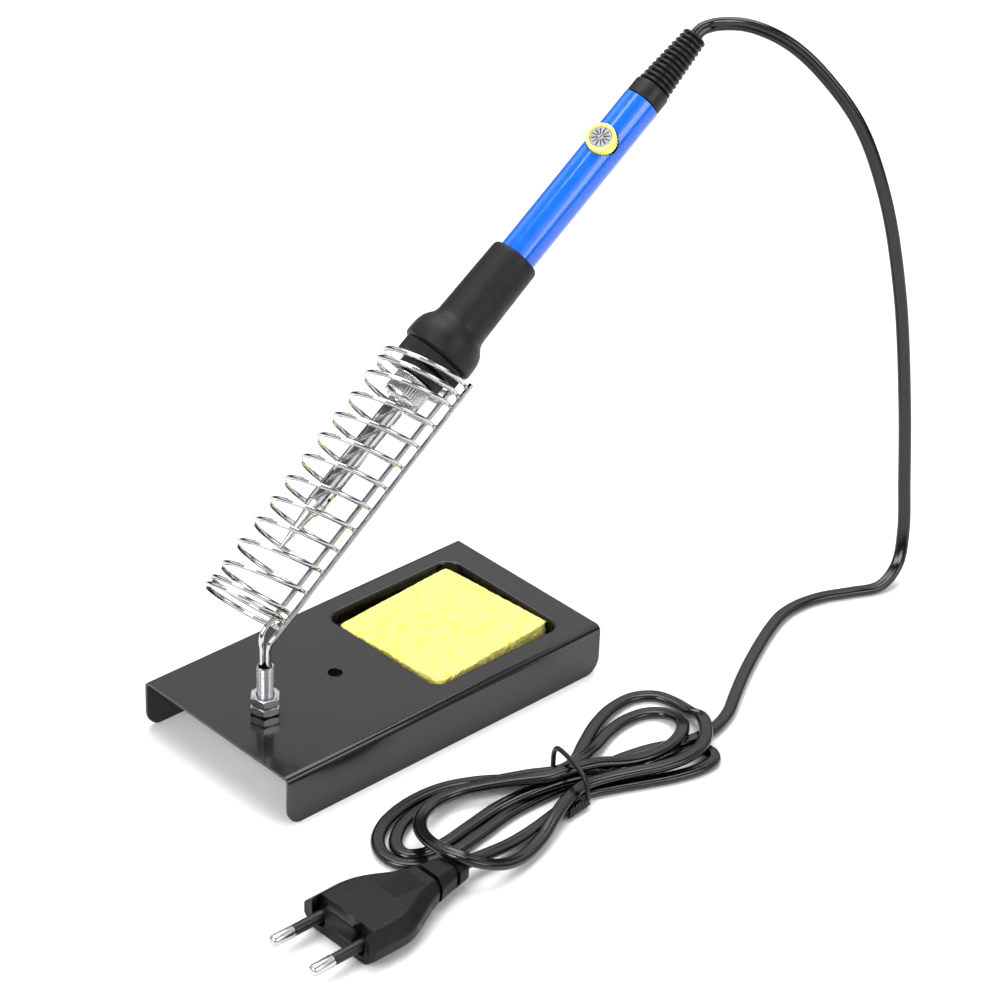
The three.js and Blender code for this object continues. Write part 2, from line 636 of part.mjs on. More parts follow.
const BOARD_TOP = -1.2; // the board lies a little under the middle of the tube
const boardGroup = new THREE.Group();
boardGroup.rotation.z = THREE.MathUtils.degToRad(KNOB_ROLL);
iron.add(boardGroup);
const BOARD_X = -BOARD_TOP + BOARD_THICKNESS / 2;
const BOARD_MIDDLE = (BOARD_START + BOARD_END) / 2;
const BOARD_WIDTH = 2 * Math.sqrt((TUBE_BORE_RADIUS - GAP) ** 2 - (BOARD_X + BOARD_THICKNESS / 2) ** 2);
piece(boardGroup, 'circuit_board', block(
  BOARD_THICKNESS,
  BOARD_WIDTH,
  BOARD_LENGTH,
  BOARD_X,
  0,
  BOARD_MIDDLE,
), BOARD_GREEN);
const ON_BOARD = BOARD_X - BOARD_THICKNESS / 2 - GAP;
function onBoard(name, high, wide, long, place, material) {
  const shape = block(high, wide, long, ON_BOARD - high / 2, 0, place);
  return piece(boardGroup, name, shape, material);
}
onBoard('potentiometer', 3.2, 8, 9, KNOB_PLACE, DARK_PLASTIC);
onBoard('triac', 2.6, 5, 6.5, BOARD_START + 12, DARK_PLASTIC);
onBoard('capacitor', 4.4, 4, 8.5, BOARD_START + 24, BROWN_FILM);
onBoard('fuse_resistor', 2.2, 2.4, 6.5, BOARD_START + 34, CERAMIC);

// Insulated leads: heater to board, and board to mains cord.
function lead(name, side, from, to, material) {
  const shape = bar(LEAD_RADIUS, from, to, 8).translate(0, (side * LEAD_SPACING) / 2, 0);
  return piece(iron, name, shape, material);
}
lead('heater_lead_front', -1, HEATER_END + GAP, BOARD_START - GAP, LEAD_RED);
lead('heater_lead_back', 1, HEATER_END + GAP, BOARD_START - GAP, LEAD_RED);
lead('mains_lead_front', -1, BOARD_END + GAP, RELIEF_START - GAP, LEAD_BLUE);
lead('mains_lead_back', 1, BOARD_END + GAP, RELIEF_START - GAP, LEAD_BLUE);

// ---------------------------------------------------------------- temperature knob
const KNOB_TOP = TUBE_RADIUS + KNOB_PROUD;
const DIAL_BOTTOM = KNOB_TOP - 1;
piece(iron, 'knob_ring', underKnob(cut(
  turned([
    [0, WELL_FLOOR],
    [KNOB_RADIUS, WELL_FLOOR],
    [KNOB_RADIUS, KNOB_TOP - 0.5],
    [KNOB_RADIUS - 0.5, KNOB_TOP],
    [0, KNOB_TOP],
  ], 28),
  bar(DIAL_RADIUS + GAP / 2, DIAL_BOTTOM - GAP, KNOB_TOP + 1, 24),
)), YELLOW_PLASTIC);
piece(iron, 'knob_dial', underKnob(bar(DIAL_RADIUS, DIAL_BOTTOM, KNOB_TOP - 0.2)), GREY_PLASTIC);
piece(iron, 'knob_spindle', underKnob(bar(
  1.2,
  -(ON_BOARD - 3.2) + GAP,
  WELL_FLOOR - GAP,
  12,
)), GREY_PLASTIC);

// ---------------------------------------------------------------- strain relief
function makeRelief() {
  const corners = [
    [0, RELIEF_START],
    [RELIEF_COLLAR_RADIUS, RELIEF_START],
    [RELIEF_COLLAR_RADIUS, RELIEF_START + RELIEF_COLLAR_LENGTH - 1],
  ];
  for (let i = 0; i < RELIEF_RIB_COUNT; i += 1) {
    const share = i / (RELIEF_RIB_COUNT - 1);
    const rib = THREE.MathUtils.lerp(RELIEF_START_RADIUS, RELIEF_END_RADIUS, share);
    const from = RELIEF_START + RELIEF_COLLAR_LENGTH + i * RELIEF_RIB_PITCH;
    corners.push([rib - 1.1, from], [rib - 1.1, from + RELIEF_RIB_PITCH * 0.35]);
    corners.push([rib, from + RELIEF_RIB_PITCH * 0.4], [rib, from + RELIEF_RIB_PITCH * 0.95]);
  }
  corners.push([0, RELIEF_END]);
  return turned(corners, 16);
}
piece(iron, 'strain_relief', makeRelief(), DARK_PLASTIC);

// ---------------------------------------------------------------- mains lead
// Route from the strain relief, over and down to the bench, then along it to the hank.
const CORD_ROUTE = [
  [149.0, 3.2, 206.6], [151.8, -1.6, 208.0], [155.0, -7.0, 208.4], [159.5, -13.5, 206.6],
  [165.0, -20.0, 202.2], [171.5, -27.8, 193.5], [180.5, -38.5, 176.0], [187.3, -47.3, 150.0],
  [193.0, -53.7, 114.0], [196.5, -58.3, 72.0], [198.3, -61.0, 38.0], [197.8, -63.4, 19.0],
  [193.5, -65.6, 7.5], [184.5, -66.0, 2.6], [174.0, -61.8, 2.4], [163.5, -57.2, 2.4],
  [153.0, -55.2, 2.4], [143.0, -56.0, 2.4], [133.0, -59.5, 2.4], [122.0, -64.5, 2.4],
  [112.0, -69.5, 2.4], [102.0, -75.0, 2.4], [92.0, -81.0, 2.6], [84.5, -85.0, 3.0],
  [79.0, -87.0, 3.4],
];

function makeCordRun() {
  iron.updateWorldMatrix(true, false);
  const onAxis = (along) => new THREE.Vector3(0, 0, along).applyMatrix4(iron.matrixWorld);
  const start = RELIEF_END + GAP;
  const route = CORD_ROUTE.map((place) => new THREE.Vector3(...place));
  const points = [onAxis(start), onAxis(start + CORD_LEAD_OUT), ...route];
  const curve = new THREE.CatmullRomCurve3(points, false, 'centripetal');
  return wire(curve, CORD_DIAMETER / 2, CORD_STEPS, 8);
}
piece(station, 'cord_run', makeCordRun(), CORD_BLACK);

// The hank: two lobes of loops gathered to a waist under the tie.
const HANK_OUTLINE = [
  [77, -86], [74, -70], [60, -58], [44, -59], [29, -66],
  [TIE_PLACE_X + WAIST_HALF_LENGTH, WAIST_BACK_Y], [TIE_PLACE_X - WAIST_HALF_LENGTH, WAIST_BACK_Y],
  [0, -64], [-15, -54], [-34, -51], [-52, -58], [-60, -71], [-57, -80], [-51, -85],
  [-46.5, -90], [-46.5, -98], [-36, -103], [-20, -101], [-5, -94],
  [TIE_PLACE_X - WAIST_HALF_LENGTH, WAIST_FRONT_Y],
  [TIE_PLACE_X + WAIST_HALF_LENGTH, WAIST_FRONT_Y], [34, -98], [50, -103], [68, -99],
];

function makeHank() {
  const corners = HANK_OUTLINE.map(([x, y]) => new THREE.Vector3(x, y, 0));
  const outline = new THREE.CatmullRomCurve3(corners, true, 'centripetal');
  const shape = new THREE.Shape(outline.getPoints(63).slice(0, -1)
    .map((point) => new THREE.Vector2(point.x, point.y)));
  return raised(shape, GAP, HANK_HEIGHT);
}
piece(station, 'cord_hank', makeHank(), CORD_BLACK);

// The tie is a wire saddle over the waist of the hank, pinched down at both sides.
function makeTie() {
  const clear = 3 * GAP + TIE_WIRE / 2;
  const [front, back] = [WAIST_FRONT_Y - clear, WAIST_BACK_Y + clear];
  const top = HANK_HEIGHT + clear;
  const points = [
    [front, TIE_WIRE], [front, top - TIE_BEND], [front + TIE_BEND, top],
    [back - TIE_BEND, top], [back, top - TIE_BEND], [back, TIE_WIRE],
  ].map(([y, z]) => new THREE.Vector3(TIE_PLACE_X, y, z));
  return wire(new THREE.CatmullRomCurve3(points, false, 'centripetal'), TIE_WIRE / 2, 30, 6);
}
piece(station, 'cord_tie', makeTie(), DARK_PLASTIC);

// ---------------------------------------------------------------- mains plug
// Plug frame: the origin is the middle of its contact face, +X runs back along the cord.
const plug = new THREE.Group();
plug.position.copy(PLUG_PLACE);
station.add(plug);

// The body's outline from above: straight, then drawn in to the waist and the neck.
function plugOutline(end) {
  const [half, waist, neck] = [PLUG_WIDTH / 2, PLUG_WAIST_WIDTH / 2, PLUG_NECK_WIDTH / 2];
  const [straight, body] = [PLUG_STRAIGHT_LENGTH, PLUG_BODY_LENGTH];
  const shape = new THREE.Shape();
  shape.moveTo(0, -half);
  shape.lineTo(straight, -half);
  shape.bezierCurveTo(straight + 9, -half, body - 9, -waist - 1.5, body, -waist);
  shape.lineTo(end, -neck);
  shape.lineTo(end, neck);
  shape.lineTo(body, waist);
  shape.bezierCurveTo(body - 9, waist + 1.5, straight + 9, half, straight, half);
  shape.lineTo(0, half);
  shape.closePath();
  return shape;
}

// From the side, the neck is lower than the body.
function plugSide(end) {
  const [half, neck] = [PLUG_THICKNESS / 2, PLUG_NECK_WIDTH / 2];
  const [shoulder, body] = [PLUG_BODY_LENGTH * 0.6, PLUG_BODY_LENGTH];
  const shape = new THREE.Shape();
  shape.moveTo(-1, -half);
  shape.lineTo(shoulder, -half);
  shape.lineTo(body, -neck - 1);
  shape.lineTo(end + 1, -neck);
  shape.lineTo(end + 1, neck);
  shape.lineTo(body, neck + 1);
  shape.lineTo(shoulder, half);
  shape.lineTo(-1, half);
  shape.closePath();
  return shape;
}

// From the end, the long sides slope in above and below a thin edge.
function plugSection() {
  const [half, flat] = [PLUG_WIDTH / 2, PLUG_FLAT_WIDTH / 2];
  const [height, edge] = [PLUG_THICKNESS / 2, PLUG_EDGE_THICKNESS / 2];
  const shape = new THREE.Shape();
  shape.moveTo(height, -flat);
  shape.lineTo(height, flat);
  shape.lineTo(edge, half);
  shape.lineTo(-edge, half);
  shape.lineTo(-height, flat);
  shape.lineTo(-height, -flat);
  shape.lineTo(-edge, -half);
  shape.lineTo(edge, -half);
  shape.closePath();
  return shape;
}

function makePlugBody() {
  const end = PLUG_BODY_LENGTH + PLUG_NECK_LENGTH;
  const slab = raised(plugOutline(end), -PLUG_THICKNESS / 2, PLUG_THICKNESS / 2, 6);
  const profile = raised(plugSide(end), -PLUG_WIDTH, PLUG_WIDTH).rotateX(Math.PI / 2);
  const section = raised(plugSection(), -1, end + 1).rotateY(Math.PI / 2);
  const body = common(slab, profile, section);
  // a pocket round each pin's root, open at the top
  const pockets = [-1, 1].flatMap((side) => {
    const y = (side * PIN_SPACING) / 2;
    const hole = bar(PIN_POCKET_RADIUS, -1, PIN_POCKET_DEPTH).rotateY(Math.PI / 2);
    const slot = block(
      PIN_POCKET_DEPTH + 1,
      2 * PIN_POCKET_RADIUS,
      PLUG_THICKNESS,
      (PIN_POCKET_DEPTH - 1) / 2,
      y,
      PLUG_THICKNESS / 2,
    );
    return [hole.translate(0, y, 0), slot];
  });
  return cut(body, ...pockets);
}
piece(plug, 'plug_body', makePlugBody(), CORD_BLACK);

// Each pin: a metal core with a wider contact end, and a plastic sleeve over its root.
function plugPin(label, side) {
  const along = (geometry) => geometry
    .rotateY(-Math.PI / 2)
    .translate(0, (side * PIN_SPACING) / 2, 0);
  const root = GAP - PIN_POCKET_DEPTH;
  const bare = PIN_SLEEVE_LENGTH + GAP;
  piece(plug, `plug_pin_${label}`, along(turned([
    [0, root],
    [PIN_CORE_RADIUS, root],
    [PIN_CORE_RADIUS, bare],
    [PIN_RADIUS, bare],
    [PIN_RADIUS, PIN_LENGTH - 1.2],
    [PIN_RADIUS - 0.8, PIN_LENGTH],
    [0, PIN_LENGTH],
  ], 20)), ZINC);
  piece(plug, `pin_sleeve_${label}`, along(ring(
    PIN_SLEEVE_RADIUS,
    PIN_CORE_RADIUS + GAP / 2,
    root,
    PIN_SLEEVE_LENGTH,
    20,
  )), DARK_PLASTIC);
}
plugPin('front', -1);
plugPin('back', 1);

// ---------------------------------------------------------------- origin
// The bench is z = 0, under the middle of the stand and iron, the lead and plug left out.
station.updateMatrixWorld(true);
const span = new THREE.Box3().setFromObject(stand).union(new THREE.Box3().setFromObject(holder));
const middle = span.getCenter(new THREE.Vector3());
station.position.set(-middle.x, -middle.y, 0);
station.updateMatrixWorld(true);

export default station;
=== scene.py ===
# %% [markdown]
# # A soldering iron on its wire stand
# This lesson builds the outside of a small bench tool: a folded steel base with a wet sponge,
# a sprung wire holder on a post, a blue-handled iron with a heat knob, and its tied mains lead.
# The mechanical model is loaded first as a fixed frame. Everything is in metres, +Z is up, and
# the new pieces are made round the frame, so each one ends up where the frame says.

# %% Load the frame
import json
import math
import bpy
from mathutils import Matrix, Vector, noise


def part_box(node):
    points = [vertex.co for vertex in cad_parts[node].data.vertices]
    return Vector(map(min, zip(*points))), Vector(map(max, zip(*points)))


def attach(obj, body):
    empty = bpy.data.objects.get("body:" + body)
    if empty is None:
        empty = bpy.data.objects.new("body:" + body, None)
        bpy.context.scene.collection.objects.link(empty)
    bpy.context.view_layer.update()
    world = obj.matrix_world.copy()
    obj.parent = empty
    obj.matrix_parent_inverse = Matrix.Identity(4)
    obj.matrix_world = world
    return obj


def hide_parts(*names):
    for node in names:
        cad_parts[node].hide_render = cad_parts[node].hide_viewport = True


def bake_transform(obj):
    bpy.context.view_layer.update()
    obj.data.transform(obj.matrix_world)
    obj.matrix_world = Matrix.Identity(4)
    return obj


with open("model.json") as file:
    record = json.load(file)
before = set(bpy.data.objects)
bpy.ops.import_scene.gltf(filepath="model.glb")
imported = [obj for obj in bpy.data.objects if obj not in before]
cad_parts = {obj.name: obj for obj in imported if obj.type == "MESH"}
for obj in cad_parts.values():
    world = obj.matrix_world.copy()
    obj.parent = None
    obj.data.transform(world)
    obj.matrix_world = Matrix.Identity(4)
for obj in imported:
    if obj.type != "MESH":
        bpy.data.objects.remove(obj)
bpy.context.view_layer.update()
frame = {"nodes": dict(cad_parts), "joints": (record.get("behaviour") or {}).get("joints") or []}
bpy.ops.object.select_all(action="DESELECT")
MM = 0.001

# %% [markdown]
# ## Where things are
# The stand stands square to the axes. The wire coil leans at 38 degrees, and the iron lies in
# it with its own slight lean. Its axis could be typed in again, but the frame's joints already
# hold it: the ferrule nut turns about the iron's axis, and the knob stands square to it.

# %% Places taken from the frame
BASE_LENGTH, BASE_WIDTH, BASE_HEIGHT, SHEET = 140 * MM, 74 * MM, 18.6 * MM, 1.0 * MM
base_low, base_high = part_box("base_plate")
BASE_X = (base_low.x + base_high.x) / 2
joints = {joint["name"]: joint for joint in frame["joints"]}
nut_joint, knob_joint = joints["ferrule_nut_turn"], joints["knob_turn"]
NUT_ALONG, KNOB_ROLL = 84 * MM, math.radians(18)


def matrix_from(x, y, z, origin):
    """A placing matrix from three axes and a point."""
    turn = Matrix((x, y, z)).transposed().to_4x4()
    return Matrix.Translation(origin) @ turn


iron_z = Vector(nut_joint["axis"]).normalized()
knob_z = Vector(knob_joint["axis"]).normalized()
iron_x = (iron_z.cross(knob_z) * math.sin(KNOB_ROLL) - knob_z * math.cos(KNOB_ROLL)).normalized()
iron_y = iron_z.cross(iron_x)
IRON = matrix_from(iron_x, iron_y, iron_z, Vector(nut_joint["pos_m"]) - iron_z * NUT_ALONG)
knob_y = iron_z.cross(knob_z)
KNOB = matrix_from(iron_z, -knob_y, knob_z, Vector(knob_joint["pos_m"]))

COIL_TILT = math.radians(38)
coil_z = Vector((math.cos(COIL_TILT), 0, math.sin(COIL_TILT)))
coil_x = Vector((math.sin(COIL_TILT), 0, -math.cos(COIL_TILT)))
coil_foot = Vector((BASE_X - 49.1 * MM, 8.112 * MM, 58.3 * MM))
COIL = matrix_from(coil_x, Vector((0, 1, 0)), coil_z, coil_foot)
POST = Vector((BASE_X - 50.5 * MM, -2 * MM, BASE_HEIGHT))
print("iron axis", tuple(round(v, 4) for v in iron_z), "base middle", round(BASE_X, 5))

# %% [markdown]
# ## Camera
# The camera looks down at 31 degrees from the front left, with a long lens 1.15 m away,
# so the sides stay nearly parallel. Its aim is a point in the air over the middle of the base.

# %% Camera
AZIMUTH, ELEVATION, ROLL = math.radians(-44.33), math.radians(31.07), math.radians(2.39)
AIM = Vector((BASE_X + 53.3 * MM, -2 * MM, 59.3 * MM))
DISTANCE = 1.1485
sin_a, cos_a, sin_e, cos_e = (
    math.sin(AZIMUTH), math.cos(AZIMUTH), math.sin(ELEVATION), math.cos(ELEVATION))
back = Vector((sin_a * cos_e, -cos_a * cos_e, sin_e))
right = Vector((cos_a, sin_a, 0))
up = back.cross(right)
camera_right = right * math.cos(ROLL) + up * math.sin(ROLL)
camera_up = up * math.cos(ROLL) - right * math.sin(ROLL)
bpy.ops.object.camera_add()
camera = bpy.context.object
camera.name = "camera"
camera.matrix_world = matrix_from(camera_right, camera_up, back, AIM + back * DISTANCE)
camera.data.lens = 121.2
camera.data.sensor_width = 36
camera.data.clip_end = 20
bpy.context.scene.camera = camera
bpy.ops.object.select_all(action="DESELECT")
print("camera at", tuple(round(v, 3) for v in camera.location))

# %% [markdown]
# ## Helpers for modelling by hand
# Blender's edit tools act on whatever is selected. These helpers select one object, pick faces
# or edges by where they are, and apply a modifier straight away, as one does with the mouse.


# %% Selecting, editing and modifiers
def only(thing):
    """Selects one object and nothing else."""
    bpy.ops.object.select_all(action="DESELECT")
    thing.select_set(True)
    bpy.context.view_layer.objects.active = thing


def edit(thing):
    """Opens an object in edit mode with all of it selected."""
    only(thing)
    bpy.ops.object.mode_set(mode="EDIT")
    bpy.ops.mesh.select_all(action="SELECT")


def leave():
    bpy.ops.object.mode_set(mode="OBJECT")


def pick(thing, kind, test):
    """Opens a mesh in edit mode with the faces, edges or vertices that pass a test."""
    edit(thing)
    bpy.ops.mesh.select_mode(type=kind)
    bpy.ops.mesh.select_all(action="DESELECT")
    leave()
    mesh = thing.data
    place = [vertex.co for vertex in mesh.vertices]
    if kind == "FACE":
        for face in mesh.polygons:
            face.select = test(face.center, face.normal)
    elif kind == "EDGE":
        for edge in mesh.edges:
            edge.select = test(place[edge.vertices[0]], place[edge.vertices[1]])
    else:
        for vertex in mesh.vertices:
            vertex.select = test(vertex.co)
    bpy.ops.object.mode_set(mode="EDIT")


def modified(thing, kind, **settings):
    """Adds a modifier and applies it."""
    only(thing)
    modifier = thing.modifiers.new(kind.lower(), kind)
    for key, value in settings.items():
        setattr(modifier, key, value)
    bpy.ops.object.modifier_apply(modifier=modifier.name)
    return thing


def added(operator, name, **settings):
    """Adds a primitive, names it and leaves it the only selected object."""
    bpy.ops.object.select_all(action="DESELECT")
    operator(**settings)
    thing = bpy.context.object
    thing.name = thing.data.name = name
    return thing


def settled(thing):
    """Puts an object's place, turn and size into its mesh."""
    only(thing)
    bpy.ops.object.transform_apply(location=True, rotation=True, scale=True)
    return thing


def joined(first, *others):
    """Joins objects into the first one."""
    only(first)
    for other in others:
        other.select_set(True)
    bpy.ops.object.join()
    return first


def tidied(thing, smooth=35):
    """Merges doubles, turns the faces outwards and shades gentle angles smooth."""
    edit(thing)
    bpy.ops.mesh.remove_doubles(threshold=1e-6)
    bpy.ops.mesh.normals_make_consistent(inside=False)
    leave()
    only(thing)
    bpy.ops.object.shade_smooth_by_angle(angle=math.radians(smooth))
    return thing


def softened(thing, width, segments=2, smooth=35, angle=40):
    """Rounds the sharp edges a little, so that they catch the light."""
    modified(thing, "BEVEL", width=width, segments=segments, limit_method="ANGLE",
             angle_limit=math.radians(angle), harden_normals=False)
    only(thing)
    bpy.ops.object.shade_smooth_by_angle(angle=math.radians(smooth))
    modified(thing, "WEIGHTED_NORMAL", keep_sharp=True, weight=100, mode="FACE_AREA")
    return thing


def carved(body, cutter, operation="DIFFERENCE"):
    """Cuts one solid with another, and removes the cutter."""
    modified(body, "BOOLEAN", object=cutter, operation=operation, solver="EXACT")
    bpy.data.objects.remove(cutter, do_unlink=True)
    return body


def block(name, size, place=(0, 0, 0)):
    """A box whose size and middle are given in millimetres."""
    thing = added(bpy.ops.mesh.primitive_cube_add, name, size=1)
    thing.scale = [length * MM for length in size]
    thing.location = [step * MM for step in place]
    return settled(thing)


def round_corners(thing, test, width, segments):
    """Bevels the edges that pass a test."""
    pick(thing, "EDGE", test)
    bpy.ops.mesh.bevel(offset=width, segments=segments, affect="EDGES")
    leave()


def drawn(name, points, edges=(), faces=()):
    """A mesh straight from its points."""
    mesh = bpy.data.meshes.new(name)
    mesh.from_pydata([tuple(point) for point in points], edges, faces)
    thing = bpy.data.objects.new(name, mesh)
    bpy.context.collection.objects.link(thing)
    return thing


def turned(name, corners, steps=64, shape=None):
    """Spins (radius, height) corners in millimetres about Z, as on a lathe."""
    thing = drawn(name, [(radius * MM, 0, height * MM) for radius, height in corners],
                  [(i, i + 1) for i in range(len(corners) - 1)])
    edit(thing)
    bpy.ops.mesh.spin(steps=steps, angle=2 * math.pi, center=(0, 0, 0), axis=(0, 0, 1))
    leave()
    tidied(thing)
    if shape:
        for vertex in thing.data.vertices:
            radius = math.hypot(vertex.co.x, vertex.co.y)
            if radius > 1e-6:
                turn = math.atan2(vertex.co.y, vertex.co.x)
                grown = shape(radius / MM, turn, vertex.co.z / MM) * MM / radius
                vertex.co.x *= grown
                vertex.co.y *= grown
    return thing


def bridged(name, rings):
    """Bridges rings of points into a skin and closes its two ends."""
    count = len(rings[0])
    points = [point for ring in rings for point in ring]
    edges = [(start + i, start + (i + 1) % count)
             for start in range(0, len(points), count) for i in range(count)]
    thing = drawn(name, points, edges)
    edit(thing)
    bpy.ops.mesh.bridge_edge_loops()
    bpy.ops.mesh.select_all(action="SELECT")
    bpy.ops.mesh.fill_holes(sides=0)
    leave()
    return tidied(thing)


def laid(thing, matrix, body, slot, finish, *nodes):
    """Moves a finished mesh to its place and ties it to the frame."""
    thing.data.transform(matrix)
    thing.data.materials.clear()
    thing.data.materials.append(finish.material)
    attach(thing, body)
    if nodes:
        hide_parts(*nodes)
    print(thing.name, len(thing.data.polygons), "faces")
    return thing


HERE = Matrix.Identity(4)

# %% [markdown]
# ## A kit for finishes
# Each finish is a node network on Object coordinates, so the pattern is fixed to the piece and
# has its real size. One noise breaks up the colour, one the shine, and one the surface itself.
# Numbers that don't vary are set on the shader's own sockets.


# %% Finish kit
def fill_ramp(ramp, stops):
    """Gives a colour ramp its (position, colour) stops."""
    while len(ramp.elements) < len(stops):
        ramp.elements.new(1)
    for element, (position, colour) in zip(ramp.elements, stops):
        element.position = position
        element.color = colour


def linear(red, green, blue):
    """An sRGB colour, 0 to 255, as the shader wants it."""
    def lifted(value):
        value /= 255
        return value / 12.92 if value <= 0.04045 else ((value + 0.055) / 1.055) ** 2.4
    return (lifted(red), lifted(green), lifted(blue), 1)


class Finish:
    """A material under construction: the shader, the mapped coordinates and the last bump."""

    def __init__(self, name, rough, metal=0.0, stretch=(1, 1, 1), turn=(0, 0, 0), uv=False,
                 **sockets):
        self.material = bpy.data.materials.new(name)
        self.material.use_nodes = True
        self.nodes = self.material.node_tree.nodes
        self.shader = self.nodes["Principled BSDF"]
        self.shader.inputs["Roughness"].default_value = rough
        self.shader.inputs["Metallic"].default_value = metal
        for key, value in sockets.items():
            self.shader.inputs[key.replace("_", " ")].default_value = value
        source = self.nodes.new("ShaderNodeTexCoord")
        mapping = self.nodes.new("ShaderNodeMapping")
        mapping.inputs["Scale"].default_value = stretch
        mapping.inputs["Rotation"].default_value = turn
        self.join(source.outputs["UV" if uv else "Object"], mapping.inputs["Vector"])
        self.place = mapping.outputs["Vector"]
        self.bumped = None

    def join(self, start, end):
        self.material.node_tree.links.new(start, end)

    def noise(self, size, detail=3.0, rough=0.5, distortion=0.0):
        """Cloudy noise whose features are about this many metres across."""
        node = self.nodes.new("ShaderNodeTexNoise")
        node.inputs["Scale"].default_value = 1 / size
        node.inputs["Detail"].default_value = detail
        node.inputs["Roughness"].default_value = rough
        node.inputs["Distortion"].default_value = distortion
        self.join(self.place, node.inputs["Vector"])
        return node.outputs["Fac"]

    def cells(self, size, randomness=1.0):
        """Cell noise, for pores and pebbled moulding."""
        node = self.nodes.new("ShaderNodeTexVoronoi")
        node.inputs["Scale"].default_value = 1 / size
        node.inputs["Randomness"].default_value = randomness
        self.join(self.place, node.inputs["Vector"])
        return node.outputs["Distance"]

    def ramp(self, value, stops):
        """A colour ramp from (position, colour) stops."""
        node = self.nodes.new("ShaderNodeValToRGB")
        fill_ramp(node.color_ramp, stops)
        self.join(value, node.inputs["Fac"])
        return node.outputs["Color"]

    def spread(self, value, low, high):
        """Maps the middle part of a noise to a range of values."""
        node = self.nodes.new("ShaderNodeMapRange")
        for socket, number in (("From Min", 0.3), ("From Max", 0.7), ("To Min", low),
                               ("To Max", high)):
            node.inputs[socket].default_value = number
        self.join(value, node.inputs["Value"])
        return node.outputs["Result"]

    def mixed(self, share, first, second):
        """Mixes two colours; each is a socket or a plain colour."""
        node = self.nodes.new("ShaderNodeMix")
        node.data_type = "RGBA"
        for index, value in ((0, share), (6, first), (7, second)):
            if isinstance(value, bpy.types.NodeSocket):
                self.join(value, node.inputs[index])
            else:
                node.inputs[index].default_value = value
        return node.outputs[2]

    def colour(self, source):
        self.join(source, self.shader.inputs["Base Color"])
        return self

    def rough(self, source):
        self.join(source, self.shader.inputs["Roughness"])
        return self

    def bump(self, height, depth, strength=1.0):
        """Adds a bump of this many metres on top of any before it."""
        node = self.nodes.new("ShaderNodeBump")
        node.inputs["Distance"].default_value = depth
        node.inputs["Strength"].default_value = strength
        self.join(height, node.inputs["Height"])
        if self.bumped:
            self.join(self.bumped, node.inputs["Normal"])
        self.bumped = node.outputs["Normal"]
        self.join(self.bumped, self.shader.inputs["Normal"])
        return self


def two_tone(name, rough, metal=0.0, tones=(), cloud=(), shine=(), grain=(), **settings):
    """A cloud of two colours, a shine that varies and one fine bump.

    cloud is a size and detail, shine a size, detail, low and high, grain a size, detail and depth.
    """
    made = Finish(name, rough, metal, **settings)
    made.colour(made.ramp(made.noise(*cloud), [(0.3, tones[0]), (0.7, tones[1])]))
    made.rough(made.spread(made.noise(*shine[:2]), *shine[2:]))
    return made.bump(made.noise(*grain[:2]), grain[2])


def plain_finish(name, dark, light, rough, size, depth):
    """The two-tone finish of a small part, all its patterns scaled from one size."""
    return two_tone(name, rough[0], tones=(linear(*dark), linear(*light)), cloud=(size * 6, 4),
                    shine=(size * 2.5, 3, *rough), grain=(size, 2, depth))


IRON_TURN = IRON.inverted().to_euler()
print("iron pattern turn", tuple(round(math.degrees(v), 1) for v in IRON_TURN))

# %% [markdown]
# ## Floor and light
# The tool stands on a pale sheet in soft daylight. A large overhead lamp makes the shadows soft,
# one from the left draws long highlights on the rods and the handle, and a weak one fills the
# front. The world is banded from the horizon up, pale and dark by turns, for chrome to reflect.

# %% Floor and light
floor = added(bpy.ops.mesh.primitive_plane_add, "floor", size=14, location=(0, 0, 0))
settled(floor)
floor_finish = Finish("floor_white", 0.75, Specular_IOR_Level=0.2)
floor_finish.colour(floor_finish.ramp(
    floor_finish.noise(0.4, detail=2), [(0.3, (0.86, 0.86, 0.86, 1)), (0.7, (0.88, 0.88, 0.88, 1))]))
floor.data.materials.append(floor_finish.material)


def lamp(name, place, aim, size, power):
    """A square area lamp that faces a point."""
    bpy.ops.object.light_add(type="AREA", location=place)
    light = bpy.context.object
    light.name = name
    light.data.size = size
    light.data.energy = power
    light.rotation_euler = (Vector(aim) - Vector(place)).to_track_quat("-Z", "Y").to_euler()
    return light


lamp("lamp_top", (0.25, 0.35, 1.5), (0, 0, 0.05), 1.3, 27)
lamp("lamp_left", (-1.25, -0.15, 0.9), (0, 0, 0.1), 0.8, 16)
lamp("lamp_front", (0.35, -1.5, 0.9), (0, 0, 0.05), 0.9, 9)
world = bpy.data.worlds.new("studio")
bpy.context.scene.world = world
world.use_nodes = True
sky = world.node_tree.nodes["Background"]
sky.inputs["Strength"].default_value = 0.8
direction, split, bands = (world.node_tree.nodes.new("ShaderNode" + kind)
                           for kind in ("TexCoord", "SeparateXYZ", "ValToRGB"))
for start, end in ((direction.outputs["Generated"], split.inputs["Vector"]),
                   (split.outputs["Z"], bands.inputs["Fac"]),
                   (bands.outputs["Color"], sky.inputs["Color"])):
    world.node_tree.links.new(start, end)
SKY_BANDS = [(0.0, 0.2), (0.14, 0.05), (0.26, 0.05), (0.44, 1.5), (0.6, 1.5), (0.8, 0.1),
             (0.9, 0.1), (1.0, 0.6)]
fill_ramp(bands.color_ramp, [(height, (tone, tone, tone, 1)) for height, tone in SKY_BANDS])
bpy.context.scene.view_settings.view_transform = "Standard"
bpy.ops.object.select_all(action="DESELECT")

